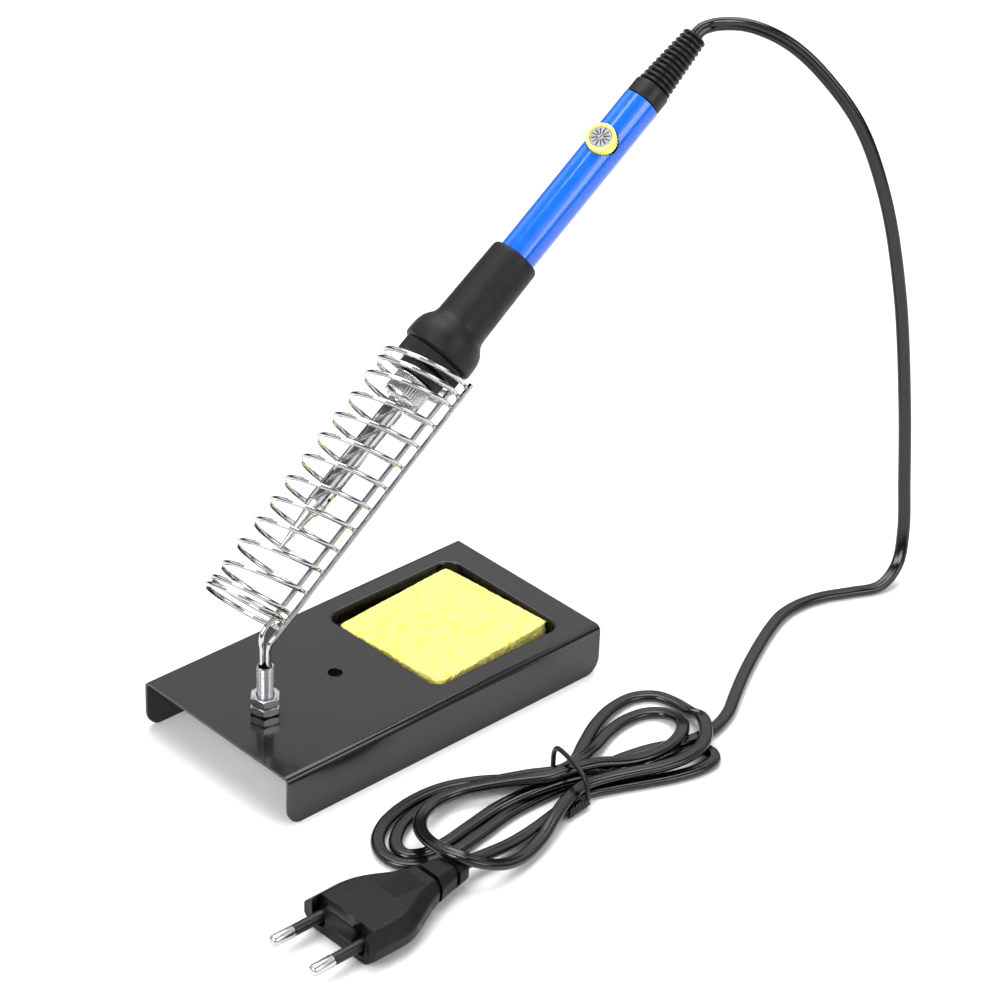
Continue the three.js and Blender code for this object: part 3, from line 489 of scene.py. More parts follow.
# %% [markdown]
# ## The mains lead
# The lead is a flat twin cord, 4.7 by 2.9 mm, with a groove down its middle. It leaves the
# handle through the strain relief, arches over, hangs to the bench and ends in a hank: six
# loops and seven strands held by a wire tie, and then the plug. A curve with a bevel would give
# a round cord, so a twin section is swept along the route, with its flat side turned as it lies.
# The points are in millimetres from the base's middle, and one without a height lies on the bench.

# %% Route of the lead
CORD_WIDTH, CORD_THICKNESS = 4.7 * MM, 2.9 * MM
ON_BENCH = 1.8
HANGING = [
    (149, 3.2, 206.6), (151.8, -1.6, 208), (155, -7, 208.4), (159.5, -13.5, 206.6),
    (165, -20, 202.2), (171.5, -27.8, 193.5), (180.5, -38.5, 176), (187.3, -47.3, 150),
    (193, -53.7, 114), (196.5, -58.3, 72), (198.3, -61, 38), (197.8, -63.4, 19),
    (193.5, -65.6, 7.5), (184.5, -66, 2.2), (174, -61.8), (163.5, -57.2), (153, -55.2), (143, -56),
    (133, -59.5), (122, -64.5), (112, -69.5), (102, -75), (92, -81), (84.5, -85.5), (76, -88.6),
    (67, -89.5), (58, -87.5), (49, -84), (38, -81.5), (26, -80.5), (14, -80.5),
]
LEFT_OUTER = [
    (2, -79.5), (-12, -79.5), (-26, -81.5), (-40, -83), (-50, -81.8), (-56.5, -77), (-58, -70.5),
    (-55, -63.5), (-48, -58), (-39, -55), (-29, -54), (-18, -55.5), (-7, -60.5), (4, -68.5),
    (14, -75),
]
RIGHT_OUTER = [
    (24, -72.5), (34, -67), (45, -61.5), (56, -58.3), (66, -58.5), (72.5, -63), (74.5, -70),
    (74, -77.5, 2.4), (72, -84.5, 5), (67.5, -91, 5.4), (61, -96, 5.2), (52, -98, 5.2),
    (42, -96.5, 5.2), (32, -92.5, 5.1), (23, -89, 5), (14, -87, 5),
]
LEFT_FRONT = [
    (5, -89, 5.2), (-5, -93, 4.6), (-15, -97.5, 3.6), (-26, -100.7, 3.6), (-36, -101.8, 6),
    (-44, -100.3, 9.6), (-49.5, -95.5, 12.3), (-51, -88.5, 12), (-49, -80, 9.8), (-45, -72.5, 7.8),
    (-39, -66.5, 6.2), (-30, -62.8, 5.4), (-21, -63, 5.4), (-12, -67.5, 6.5), (-3, -74, 8),
    (5, -79, 8.5), (14, -81, 8.4),
]
RIGHT_INNER = [
    (24, -83.5, 7.5), (34, -87.5, 5.8), (44, -89.8, 5.3), (54, -89.3, 5.3), (62, -85.5, 5.1),
    (66.8, -79, 3.5), (67, -72.5, 2.2), (62.5, -68, 1.9), (54, -66.5, 1.9), (44, -68, 1.9),
    (34, -71.8, 2.6), (24, -75, 4.4), (14, -76, 5),
]
LEFT_INNER = [
    (4, -71, 5), (-6, -65.5, 4), (-17, -60.6, 2.5), (-28, -59.2, 1.9), (-38, -60.3, 1.9),
    (-46.5, -63.8, 1.9), (-52, -69.3, 1.9), (-52.3, -74.3, 1.9), (-47, -77.6, 1.9),
    (-38, -77.8, 1.9), (-26, -76.2, 1.9), (-12, -75.3, 2.6), (0, -78, 4.6), (14, -81.5, 5),
]
RIGHT_FRONT = [
    (22, -84, 3.5), (30, -87.5, 1.9), (40, -91.3), (50, -92.8), (58, -93.6), (63, -96.8),
    (61, -101.3), (54, -102.4), (44, -100), (34, -95.8), (24, -91.3), (14, -87.5),
]
TO_PLUG = [
    (2, -88.8), (-12, -91, 2), (-24, -93, 3.4), (-34, -94, 5.2), (-42, -94, 6.2), (-46, -94, 6.3),
    (-50, -94, 6.3),
]
RELIEF_END = 240.5 * MM
route = [IRON @ Vector((0, 0, RELIEF_END + step * MM)) for step in (-2, 0.3, 2.8)]
for x, y, *z in (HANGING + LEFT_OUTER + RIGHT_OUTER + LEFT_FRONT + RIGHT_INNER + LEFT_INNER
                 + RIGHT_FRONT + TO_PLUG):
    route.append(Vector((BASE_X + x * MM, y * MM, (z[0] if z else ON_BENCH) * MM)))


FINE_STEPS = 16


def smoothed(points, step):
    """Points at an even step along one smooth curve through the given points."""
    fine = []
    for i in range(len(points) - 1):
        before = points[max(i - 1, 0)]
        start, end = points[i], points[i + 1]
        after = points[min(i + 2, len(points) - 1)]
        span = [max((b - a).length, 1e-6) ** 0.5
                for a, b in ((before, start), (start, end), (end, after))]
        pull_start = ((start - before) / span[0] - (end - before) / (span[0] + span[1])
                      + (end - start) / span[1]) * span[1] if i else end - start
        pull_end = ((end - start) / span[1] - (after - start) / (span[1] + span[2])
                    + (after - end) / span[2]) * span[1] if i < len(points) - 2 else end - start
        for k in range(FINE_STEPS):
            t = k / FINE_STEPS
            fine.append(start * (2 * t ** 3 - 3 * t ** 2 + 1) + end * (3 * t ** 2 - 2 * t ** 3)
                        + pull_start * (t ** 3 - 2 * t ** 2 + t) + pull_end * (t ** 3 - t ** 2))
    fine.append(points[-1])
    even, carried = [fine[0]], 0.0
    for a, b in zip(fine, fine[1:]):
        length = (b - a).length
        while carried + length >= step:
            a = a + (b - a) * ((step - carried) / length)
            length = (b - a).length
            even.append(a.copy())
            carried = 0.0
        carried += length
    return even + ([points[-1]] if (even[-1] - points[-1]).length > step / 3 else [])


cord_path = smoothed(route, 1.8 * MM)

# %% [markdown]
# ## Sweeping the twin section
# A section of two overlapping circles is set square to the route at each point. On the bench
# the flat side lies down, and where the lead hangs it faces the front left.

# %% Sweep the lead
CORE_RADIUS = CORD_THICKNESS / 2
CORE_OFFSET = (CORD_WIDTH - CORD_THICKNESS) / 2


def twin_section(points_per_core=10):
    """Half circles round two cores, joined by a groove on both flat sides."""
    section = []
    for side in (1, -1):
        for i in range(points_per_core):
            angle = math.radians(-118 + 236 * i / (points_per_core - 1))
            angle += 0 if side > 0 else math.pi
            section.append((side * CORE_OFFSET + CORE_RADIUS * math.cos(angle),
                            CORE_RADIUS * math.sin(angle)))
    return section


def swept(name, path, section, flat_side):
    """Sweeps a section along a path; flat_side gives the direction its thin way faces."""
    rings, widths = [], []
    for i, point in enumerate(path):
        along = (path[min(i + 1, len(path) - 1)] - path[max(i - 1, 0)]).normalized()
        wide = along.cross(flat_side(point)).normalized()
        widths.append((along, wide))
    for i, point in enumerate(path):
        near = widths[max(i - 3, 0):i + 4]
        along = widths[i][0]
        wide = sum((w for _, w in near), Vector()) / len(near)
        wide = (wide - along * wide.dot(along)).normalized()
        thin = wide.cross(along)
        rings.append([point + wide * x + thin * y for x, y in section])
    count = len(section)
    faces = [(r * count + i, r * count + (i + 1) % count,
              (r + 1) * count + (i + 1) % count, (r + 1) * count + i)
             for r in range(len(rings) - 1) for i in range(count)]
    faces += [tuple(range(count)), tuple(range((len(rings) - 1) * count, len(rings) * count))]
    thing = drawn(name, [point for ring in rings for point in ring], faces=faces)
    mesh = thing.data
    layer = mesh.uv_layers.new(name="run")
    travelled = [0.0]
    for a, b in zip(path, path[1:]):
        travelled.append(travelled[-1] + (b - a).length)
    for face in mesh.polygons:
        for corner in face.loop_indices:
            vertex = mesh.loops[corner].vertex_index
            layer.data[corner].uv = (travelled[vertex // count], (vertex % count) / count)
    return tidied(thing, smooth=60)


TURN_FROM, TURN_OVER = 8 * MM, 28 * MM


def lead_faces(point):
    """Up on the bench, and towards the front left where the lead hangs."""
    lift = min(max((point.z - TURN_FROM) / TURN_OVER, 0), 1)
    return Vector((0, 0, 1)).lerp(Vector((-0.7, -0.71, 0.1)), lift)


jacket = Finish("cord_jacket", 0.3, uv=True, stretch=(1, 0.016, 1), Specular_IOR_Level=0.5)
jacket.colour(jacket.ramp(jacket.noise(0.02, detail=4),
                          [(0.3, linear(2, 2, 3)), (0.75, linear(7, 7, 8))]))
jacket.rough(jacket.spread(jacket.noise(0.008, detail=3), 0.16, 0.24))
jacket.bump(jacket.noise(0.0009, detail=2), 0.00003)
mains_lead = swept("mains_lead", cord_path, twin_section(), lead_faces)
mains_lead.data.materials.append(jacket.material)
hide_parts("cord_run", "cord_hank")
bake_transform(mains_lead)
print("lead has", len(mains_lead.data.polygons), "faces")

# %% [markdown]
# ## The base
# The real base is one sheet of steel, 1 mm thick: two flanges folded down, a tray pressed in for
# the sponge, a hole for the post and a spare hole. A solid block with cuts would lose the even
# wall, so the outer skin is made first and then given its thickness. The tray is inset and
# pushed down from its own rounded rectangle, and the flat top is filled in between the parts.
# Every face is turned outwards before the wall is made, so that it grows inwards everywhere.

# %% Base: the folded channel
channel = added(bpy.ops.mesh.primitive_plane_add, "base_sheet", size=1,
                location=(BASE_X, 0, BASE_HEIGHT))
channel.scale = (BASE_LENGTH, BASE_WIDTH, 1)
settled(channel)
pick(channel, "EDGE", lambda a, b: abs(a.y - b.y) < 1e-5)
bpy.ops.mesh.extrude_region_move(TRANSFORM_OT_translate={"value": (0, 0, -BASE_HEIGHT)})
leave()
BEND, FOOT_CORNER = 2.2 * MM, 6 * MM
round_corners(channel, lambda a, b: abs(a.y - b.y) < 1e-5 and min(a.z, b.z) > BASE_HEIGHT - 1e-5,
              BEND, 8)
pick(channel, "VERT", lambda v: v.z < 1e-5)
bpy.ops.mesh.bevel(offset=FOOT_CORNER, segments=8, affect="VERTICES")
leave()
pick(channel, "FACE", lambda centre, normal: centre.z > BASE_HEIGHT - 1e-5)
bpy.ops.mesh.delete(type="ONLY_FACE")
leave()
print("channel:", len(channel.data.polygons), "faces")

# %% Base: the pressed tray and the holes
TRAY_LENGTH, TRAY_WIDTH, TRAY_DEPTH = 57.5 * MM, 56 * MM, 6 * MM
TRAY_X = BASE_X + 30.45 * MM
RIM = 1.1 * MM
tray = added(bpy.ops.mesh.primitive_plane_add, "tray", size=1, location=(TRAY_X, 0, BASE_HEIGHT))
tray.scale = (TRAY_LENGTH + 2 * RIM, TRAY_WIDTH + 2 * RIM, 1)
settled(tray)
edit(tray)
bpy.ops.mesh.bevel(offset=5 * MM + RIM, segments=10, affect="VERTICES")
bpy.ops.mesh.select_all(action="SELECT")
bpy.ops.mesh.inset(thickness=RIM, depth=0)
bpy.ops.mesh.extrude_region_move(TRANSFORM_OT_translate={"value": (0, 0, -TRAY_DEPTH)})
leave()
half_x, half_y = TRAY_LENGTH / 2 + 0.2 * MM, TRAY_WIDTH / 2 + 0.2 * MM
round_corners(tray, lambda a, b: abs(a.z - b.z) < 1e-6 and all(
    abs(v.x - TRAY_X) < half_x and abs(v.y) < half_y for v in (a, b)), 0.9 * MM, 4)
POST_HOLE, SPARE_HOLE = (POST.x, POST.y, 3.2 * MM), (BASE_X - 18.5 * MM, 0, 2.55 * MM)
rings = [settled(added(bpy.ops.mesh.primitive_circle_add, "hole", vertices=40, radius=radius,
                       location=(x, y, BASE_HEIGHT), fill_type="NOTHING"))
         for x, y, radius in (POST_HOLE, SPARE_HOLE)]
base_sheet = joined(channel, tray, *rings)
base_sheet.name = "base_sheet"
print("tray joined:", len(base_sheet.data.polygons), "faces")

# %% Base: the flat top, the wall and the paint
edit(base_sheet)
bpy.ops.mesh.remove_doubles(threshold=1e-6)
bpy.ops.mesh.select_mode(type="EDGE")
bpy.ops.mesh.select_all(action="DESELECT")
leave()
use = {}
for face in base_sheet.data.polygons:
    for key in face.edge_keys:
        use[key] = use.get(key, 0) + 1
for edge in base_sheet.data.edges:
    heights = [base_sheet.data.vertices[v].co.z for v in edge.vertices]
    open_edge = use.get(tuple(sorted(edge.vertices)), 0) < 2
    edge.select = open_edge and min(heights) > BASE_HEIGHT - 1e-6
bpy.ops.object.mode_set(mode="EDIT")
bpy.ops.mesh.fill(use_beauty=True)
bpy.ops.mesh.select_all(action="SELECT")
bpy.ops.mesh.normals_make_consistent(inside=False)
leave()


def turned_in(centre, normal):
    """True for a face whose normal points into the sheet instead of out of its painted skin."""
    if (abs(centre.x - TRAY_X) < TRAY_LENGTH / 2 + RIM
            and abs(centre.y) < TRAY_WIDTH / 2 + RIM):
        out = Vector((TRAY_X, 0, BASE_HEIGHT + 40 * MM)) - centre
    else:
        out = centre - Vector((centre.x, 0, 8 * MM))
    return normal.dot(out) < 0


pick(base_sheet, "FACE", turned_in)
bpy.ops.mesh.flip_normals()
leave()
modified(base_sheet, "SOLIDIFY", thickness=SHEET, offset=-1, use_even_offset=False)
softened(base_sheet, 0.18 * MM, segments=2, angle=55)
only(base_sheet)
bpy.ops.mesh.customdata_custom_splitnormals_clear()
pick(base_sheet, "FACE", lambda centre, normal: max(abs(c) for c in normal) > 0.99999)
bpy.ops.mesh.faces_shade_flat()
leave()

paint = Finish("gloss_black_paint", 0.2, Specular_IOR_Level=0.32, Coat_Weight=0.22,
               Coat_Roughness=0.04)
paint_cloud = paint.noise(0.03, detail=5)
paint_tone = paint.ramp(paint_cloud, [(0.3, linear(9, 9, 10)), (0.7, linear(14, 14, 15))])
chips = paint.ramp(paint.noise(0.0016, detail=5, rough=0.7),
                   [(0.735, (0, 0, 0, 1)), (0.75, (1, 1, 1, 1))])
paint.colour(paint.mixed(chips, paint_tone, linear(88, 88, 88)))
paint.rough(paint.spread(paint.noise(0.012, detail=4), 0.12, 0.22))
paint.bump(paint.noise(0.0035, detail=2), 0.00002)
laid(base_sheet, HERE, "root", "black_paint", paint, "base_plate")

# %% [markdown]
# ## The sponge
# The pad is cellulose sponge, cut by hand, so its edges are ragged and its top is full of pores.
# A plain block would look like plastic. A fine grid is given a side, and every point is then
# moved by fixed noise: pits where cells lie on the top, and bites and tufts along the cut sides.

# %% Sponge
sponge_low, sponge_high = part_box("sponge")
SPONGE_TURN = math.radians(4)
SPONGE_LENGTH, SPONGE_WIDTH, SOFT_RIM = 53.3 * MM, 48.3 * MM, 2.2 * MM
sponge_middle = (sponge_low + sponge_high) / 2
sponge = added(bpy.ops.mesh.primitive_grid_add, "sponge_pad", x_subdivisions=132,
               y_subdivisions=118, size=1, location=(0, 0, 0))
sponge.scale = (SPONGE_LENGTH, SPONGE_WIDTH, 1)
settled(sponge)
DEEP = sponge_high.z - sponge_low.z
LAYERS = 7
edit(sponge)
bpy.ops.mesh.select_mode(type="EDGE")
bpy.ops.mesh.select_all(action="DESELECT")
bpy.ops.mesh.select_non_manifold()
for layer in range(LAYERS):
    bpy.ops.mesh.extrude_region_move(TRANSFORM_OT_translate={"value": (0, 0, -DEEP / LAYERS)})
bpy.ops.mesh.edge_face_add()
bpy.ops.mesh.select_all(action="SELECT")
bpy.ops.mesh.normals_make_consistent(inside=False)
leave()
for vertex in sponge.data.vertices:
    x, y, z = vertex.co
    half_long, half_wide = SPONGE_LENGTH / 2, SPONGE_WIDTH / 2
    rim = max(0.0, 1 - min(half_long - abs(x), half_wide - abs(y)) / SOFT_RIM)
    here = Vector((x, y, z)) / MM
    corner = max(0.0, (abs(x) / half_long) ** 24 + (abs(y) / half_wide) ** 24 - 1)
    ragged = (noise.noise(here * 0.35) * 0.55 + noise.noise(here * 1.3 + Vector((9, 0, 0))) * 0.45
              + max(0.0, noise.noise(here * 2.2 + Vector((0, 7, 0))) - 0.35) * 2.6)
    outwards = Vector((round(x / SPONGE_LENGTH * 2.02), round(y / SPONGE_WIDTH * 2.02), 0))
    if outwards.length > 0:
        outwards.normalize()
    vertex.co += outwards * rim * (ragged * 0.75 - corner * 0.9) * MM
    if z > -DEEP * 0.5:
        swell = noise.noise(here * 0.09 + Vector((3, 3, 0))) * 0.2
        pores = noise.noise(here * 1.05) ** 2 * 0.9 + max(0, noise.noise(here * 2.4) - 0.3) * 1.1
        vertex.co.z += (swell - pores * 0.55 - rim ** 2 * (0.5 + ragged * 0.4)) * MM * 0.8
SPONGE_PLACE = (sponge_middle.x, sponge_middle.y, sponge_high.z - 0.1 * MM)
sponge.data.transform(Matrix.Translation(SPONGE_PLACE) @ Matrix.Rotation(SPONGE_TURN, 4, "Z"))
only(sponge)
bpy.ops.object.shade_smooth_by_angle(angle=math.radians(70))

foam = Finish("cellulose_sponge", 0.9, Subsurface_Weight=0.12, Subsurface_Scale=0.002,
              Specular_IOR_Level=0.15, Sheen_Weight=0.2, Sheen_Roughness=0.6)
foam_base = foam.ramp(foam.noise(0.0045, detail=6, rough=0.62, distortion=0.6),
                      [(0.5, linear(240, 229, 122)), (0.56, linear(222, 208, 88))])
# Painted shade and light: the same cells that dent the top darken the floors of the pits and lighten
# the ridges between them.
pore_shade_and_ridge_light = foam.ramp(foam.cells(0.0011),
                       [(0.1, linear(222, 205, 78)), (0.3, linear(255, 248, 142))])
foam.colour(foam.mixed(0.25, foam_base, pore_shade_and_ridge_light))
foam.rough(foam.spread(foam.noise(0.003), 0.82, 0.97))
foam.bump(foam.cells(0.0011), 0.0003, 0.7)
foam.bump(foam.noise(0.0005, detail=3), 0.00015)
laid(sponge, HERE, "sponge", "sponge", foam, "sponge")

# %% [markdown]
# ## The post: sleeve and nuts
# A short threaded tube stands on the plate between nuts, and the two ends of the wire holder
# stand in it. The wall is spun from many close rows of points. Each point then moves in or out
# by its height and its turn round the axis, which winds a true helix of 1 mm pitch.

# %% Threaded sleeve
SLEEVE_TOP, SLEEVE_BOTTOM = BASE_HEIGHT / MM + 17.6, BASE_HEIGHT / MM - 8.5
SLEEVE_RADIUS, SLEEVE_BORE, THREAD_DEPTH, ROW = 2.9, 2.35, 0.55, 0.125
THREAD_ROWS = [(SLEEVE_RADIUS, SLEEVE_BOTTOM + ROW * i)
               for i in range(1, int((SLEEVE_TOP - SLEEVE_BOTTOM) / ROW))]


def thread(radius, turn, height):
    """A V thread of 1 mm pitch on the outer wall."""
    if radius < 2.7:
        return radius
    phase = (height - turn / (2 * math.pi)) % 1.0
    return SLEEVE_RADIUS - THREAD_DEPTH * (1 - abs(2 * phase - 1))


sleeve = turned("post_sleeve", [(SLEEVE_BORE, SLEEVE_BOTTOM), (2.6, SLEEVE_BOTTOM)] + THREAD_ROWS
                + [(2.6, SLEEVE_TOP), (SLEEVE_BORE, SLEEVE_TOP), (SLEEVE_BORE, SLEEVE_BOTTOM)],
                40, thread)
zinc = two_tone("zinc_plate", 0.3, 0.95, tones=((0.44, 0.45, 0.46, 1), (0.56, 0.57, 0.58, 1)),
                cloud=(0.004, 5), shine=(0.0018, 4, 0.1, 0.18), grain=(0.0006, 3, 0.00001))
laid(sleeve, Matrix.Translation((POST.x, POST.y, 0)), "root", "zinc", zinc,
     "threaded_sleeve")


# %% Hexagon nuts and the washer
NUT_FLATS, NUT_TURN = 9.4, math.radians(46 - 90)


def hex_nut(name, node):
    """A thin nut: a six-sided blank, turned down to chamfers, drilled and softened."""
    low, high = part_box(node)
    tall = (high.z - low.z) / MM
    blank = added(bpy.ops.mesh.primitive_cylinder_add, name, vertices=6,
                  radius=NUT_FLATS / math.sqrt(3) * MM, depth=tall * MM,
                  location=(0, 0, tall / 2 * MM), rotation=(0, 0, NUT_TURN))
    settled(blank)
    chamfer = turned("chamfer", [(0, 0), (4.55, 0), (5.6, 0.62), (5.6, tall - 0.62),
                                 (4.55, tall), (0, tall)], 64)
    carved(blank, chamfer, "INTERSECT")
    drill = turned("drill", [(0, -1), (3.55, -1), (3.0, 0.25), (3.0, tall - 0.25),
                             (3.55, tall + 1), (0, tall + 1)], 48)
    carved(blank, drill)
    softened(blank, 0.07 * MM, segments=2)
    return laid(blank, Matrix.Translation((POST.x, POST.y, low.z)), "root", "zinc",
                zinc, node)


for nut_name in ("upper_nut", "lower_nut", "under_nut"):
    hex_nut("post_" + nut_name, nut_name)
washer = turned("post_washer", [(3.2, 0.15), (3.35, 0), (5.8, 0), (6, 0.2), (6, 0.8), (5.8, 1),
                                (3.35, 1), (3.2, 0.85), (3.2, 0.15)], 48)
laid(washer, Matrix.Translation((POST.x, POST.y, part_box("under_washer")[0].z)), "root", "zinc",
     zinc, "under_washer")

# %% [markdown]
# ## The sprung wire holder
# One wire is wound into a coil that is closer at its two ends, and two rods run along it, one
# outside and one inside, welded wherever they cross a turn. Below the coil the rods bend down
# together into the sleeve. Each wire is a curve with a round bevel, made into a mesh.


# %% Wires
def wired(name, points, radius, resolution=5):
    """A round wire along points, as a mesh with closed ends."""
    curve = bpy.data.curves.new(name, "CURVE")
    curve.dimensions = "3D"
    spline = curve.splines.new("POLY")
    spline.points.add(len(points) - 1)
    for point, place in zip(spline.points, points):
        point.co = (*place, 1)
    curve.bevel_depth = radius
    curve.bevel_resolution = resolution
    curve.use_fill_caps = True
    thing = bpy.data.objects.new(name, curve)
    bpy.context.collection.objects.link(thing)
    only(thing)
    bpy.ops.object.convert(target="MESH")
    thing = bpy.context.object
    thing.name = thing.data.name = name
    return tidied(thing, smooth=50)


WIRE, ROD = 1.8 * MM, 1.9 * MM
ROD_SIDE = math.radians(-50)
COIL_TURNS, COIL_START = 14, -3.0
LOW_TURNS, OPEN_TURNS, COIL_LEAN = 2, 10, 4.5
LOW_PITCH, OPEN_PITCH, TOP_PITCH = 3, 8.65, 4.2


def climb(turns):
    """How far up the axis the wire has climbed, in millimetres."""
    low, top = min(turns, LOW_TURNS), max(turns - LOW_TURNS - OPEN_TURNS, 0)
    middle = min(max(turns - LOW_TURNS, 0), OPEN_TURNS)
    return COIL_START + LOW_PITCH * low + OPEN_PITCH * middle + TOP_PITCH * top


COIL_TOP = climb(COIL_TURNS)


def coil_radius(along):
    return 13.2 + 0.8 * (along - COIL_START) / (COIL_TOP - COIL_START)


def coil_point(turns):
    """A point on the leaning helix, a little uneven on the side away from the rods."""
    round_angle = 2 * math.pi * turns
    away = (1 - math.cos(round_angle)) / 2
    along = climb(turns) - COIL_LEAN * away
    along += 0.25 * math.sin(turns * 1.7) * away
    radius = coil_radius(along) + 0.12 * math.sin(turns * 4.1) * away
    angle = ROD_SIDE + round_angle
    return COIL @ (Vector((radius * math.cos(angle), radius * math.sin(angle), along)) * MM)


STEPS_A_TURN = 40
coil_points = [coil_point(i / STEPS_A_TURN) for i in range(COIL_TURNS * STEPS_A_TURN + 1)]
spring = wired("holder_coil", coil_points, WIRE / 2)

chrome = two_tone("chromed_wire", 0.09, 1.0, tones=((0.46, 0.46, 0.47, 1), (0.56, 0.56, 0.57, 1)),
                  cloud=(0.006, 4), shine=(0.002, 4, 0.05, 0.12), grain=(0.0012, 3, 0.00001))
laid(spring, HERE, "root", "chrome_wire", chrome, "coil_wire")


# %% Rods and weld spots
across = Vector((math.cos(ROD_SIDE), math.sin(ROD_SIDE), 0))


def rod_points(side, top_end):
    """Up out of the sleeve, round the bend and along the turns."""
    offset = side * ((WIRE + ROD) / 2 / MM + 0.3)

    def beside(along):
        return COIL @ ((across * (coil_radius(along) + offset) + Vector((0, 0, along))) * MM)

    low, high = beside(COIL_START - 1.8), beside(top_end)
    slope = (high - low).normalized()
    level = COIL.to_3x3() @ across
    level = Vector((level.x, level.y, 0)).normalized()
    stem = POST + level * side * (ROD + 0.3 * MM) / 2
    foot = Vector((stem.x, stem.y, (SLEEVE_BOTTOM + 1) * MM))
    elbow = stem + Vector((0, 0, 22 * MM))
    pulls = [elbow, elbow + Vector((0, 0, 4 * MM)), low - slope * 4 * MM, low]
    bend = []
    for i in range(17):
        t = i / 16
        bend.append(pulls[0] * (1 - t) ** 3 + pulls[1] * 3 * t * (1 - t) ** 2
                    + pulls[2] * 3 * t ** 2 * (1 - t) + pulls[3] * t ** 3)
    return [foot, foot.lerp(elbow, 0.5)] + bend + [low.lerp(high, t / 12) for t in range(1, 13)]


for rod_name, node, side, end in (("holder_rod_outer", "rod_outer", 1, COIL_TOP + 1.8),
                                  ("holder_rod_inner", "rod_inner", -1, COIL_TOP - 4.5)):
    rod = wired(rod_name, rod_points(side, end), ROD / 2, 7)
    softened(rod, 0.3 * MM, 3, smooth=50)
    laid(rod, HERE, "root", "chrome_wire", chrome, node)

weld_parts = []
for turn in range(COIL_TURNS + 1):
    along = climb(turn)
    for side in (-1, 1):
        if side < 0 and along > COIL_TOP - 5:
            continue
        place = COIL @ ((across * (coil_radius(along) + side * 1.05) + Vector((0, 0, along))) * MM)
        spot = added(bpy.ops.mesh.primitive_uv_sphere_add, "weld", segments=14, ring_count=8,
                     radius=1)
        wobble = 0.12 * math.sin(turn * 2.7 + side)
        shape = Matrix.Diagonal((0.6 * MM, (0.95 + wobble) * MM, (0.95 - wobble) * MM, 1))
        spot.data.transform(Matrix.Translation(place) @ COIL.to_3x3().to_4x4()
                            @ Matrix.Rotation(ROD_SIDE, 4, "Z") @ shape)
        weld_parts.append(spot)
welds = joined(*weld_parts)
welds.name = "holder_welds"
tidied(welds, 60)
laid(welds, HERE, "root", "chrome_wire", chrome)

# %% [markdown]
# ## The hot end
# A plated copper tip slips into a bright steel barrel, and a knurled nut holds the barrel on the
# handle. All of these are turned parts, so each is a profile spun on the iron's own axis and
# then laid in the holder. The vents of the barrel and its cross hole are cut with solids.

# %% Tip and barrel
steel = two_tone("polished_steel", 0.14, 1.0, tones=((0.52, 0.52, 0.53, 1), (0.6, 0.6, 0.61, 1)),
                 cloud=(0.006, 3), shine=(0.004, 3, 0.12, 0.18), grain=(0.0005, 2, 0.000002),
                 turn=IRON_TURN, stretch=(1, 1, 0.12))
plated = two_tone("plated_tip", 0.26, 1.0, tones=((0.42, 0.41, 0.4, 1), (0.62, 0.62, 0.63, 1)),
                  cloud=(0.003, 4), shine=(0.001, 4, 0.18, 0.38), grain=(0.0006, 3, 0.00001))

tip = turned("iron_tip", [
    (0, 17.5), (0.22, 17.52), (0.4, 17.75), (1.2, 24.6), (2.2, 32.6), (2.3, 33.2), (2.3, 37.9),
    (2.75, 38.9), (2.75, 57.6), (1.85, 57.6), (1.85, 39.3), (0, 39.3)], 64)
laid(tip, IRON, "iron", "tip_plating", plated, "soldering_tip")

barrel = turned("iron_barrel", [
    (2.6, 33.3), (3.0, 33.3), (3.1, 33.5), (3.5, 36.9), (3.6, 37.5), (3.6, 81.1), (3.75, 81.3),
    (4.9, 81.3), (4.9, 82.3), (3.15, 82.3), (3.15, 37.3), (2.6, 33.3)], 72)


def runs_across(a, b):
    """True for an edge along X."""
    return abs(a.x - b.x) > 1e-4


for turn in range(3):
    for along, long in ((45.5, 7.0), (66.0, 8.0), (75.2, 5.0)):
        slot = block("slot", (3, 1.5, long), (3.4, 0, along))
        round_corners(slot, runs_across, 0.7 * MM, 4)
        slot.data.transform(Matrix.Rotation(math.radians(120 * turn + 172), 4, "Z"))
        carved(barrel, slot)
cross_hole = turned("cross_hole", [(0, -5), (0.75, -5), (0.75, 0), (0, 0)], 20)
cross_hole.data.transform(Matrix.Translation((0, 0, 40.2 * MM))
                          @ Matrix.Rotation(math.radians(270), 4, "X"))
carved(barrel, cross_hole)
softened(barrel, 0.08 * MM, 2)
laid(barrel, IRON, "iron", "bright_steel", steel, "barrel")


# %% Knurled nut, bush and ribbed ring
def straight_knurl(radius, turn, height):
    """Fine flutes along the nut's side, left off its rounded shoulder."""
    if radius < 6.6 or not 82.2 < height < 89.0:
        return radius
    return radius - 0.16 + 0.16 * math.cos(44 * turn)


knurl_rows = [(6.95, 82.0 + 0.2 * i) for i in range(1, 36)]
ferrule = turned("iron_ferrule", [
    (3.9, 79.8), (4.9, 79.8), (5.35, 79.95), (6.1, 80.45), (6.6, 81.1), (6.86, 81.8), (6.95, 82.1)]
    + knurl_rows + [(6.75, 89.25), (5.95, 89.3), (5.95, 81.0), (3.9, 81.0), (3.9, 79.8)],
    264, straight_knurl)
laid(ferrule, IRON, "nut", "bright_steel", steel, "ferrule_nut")

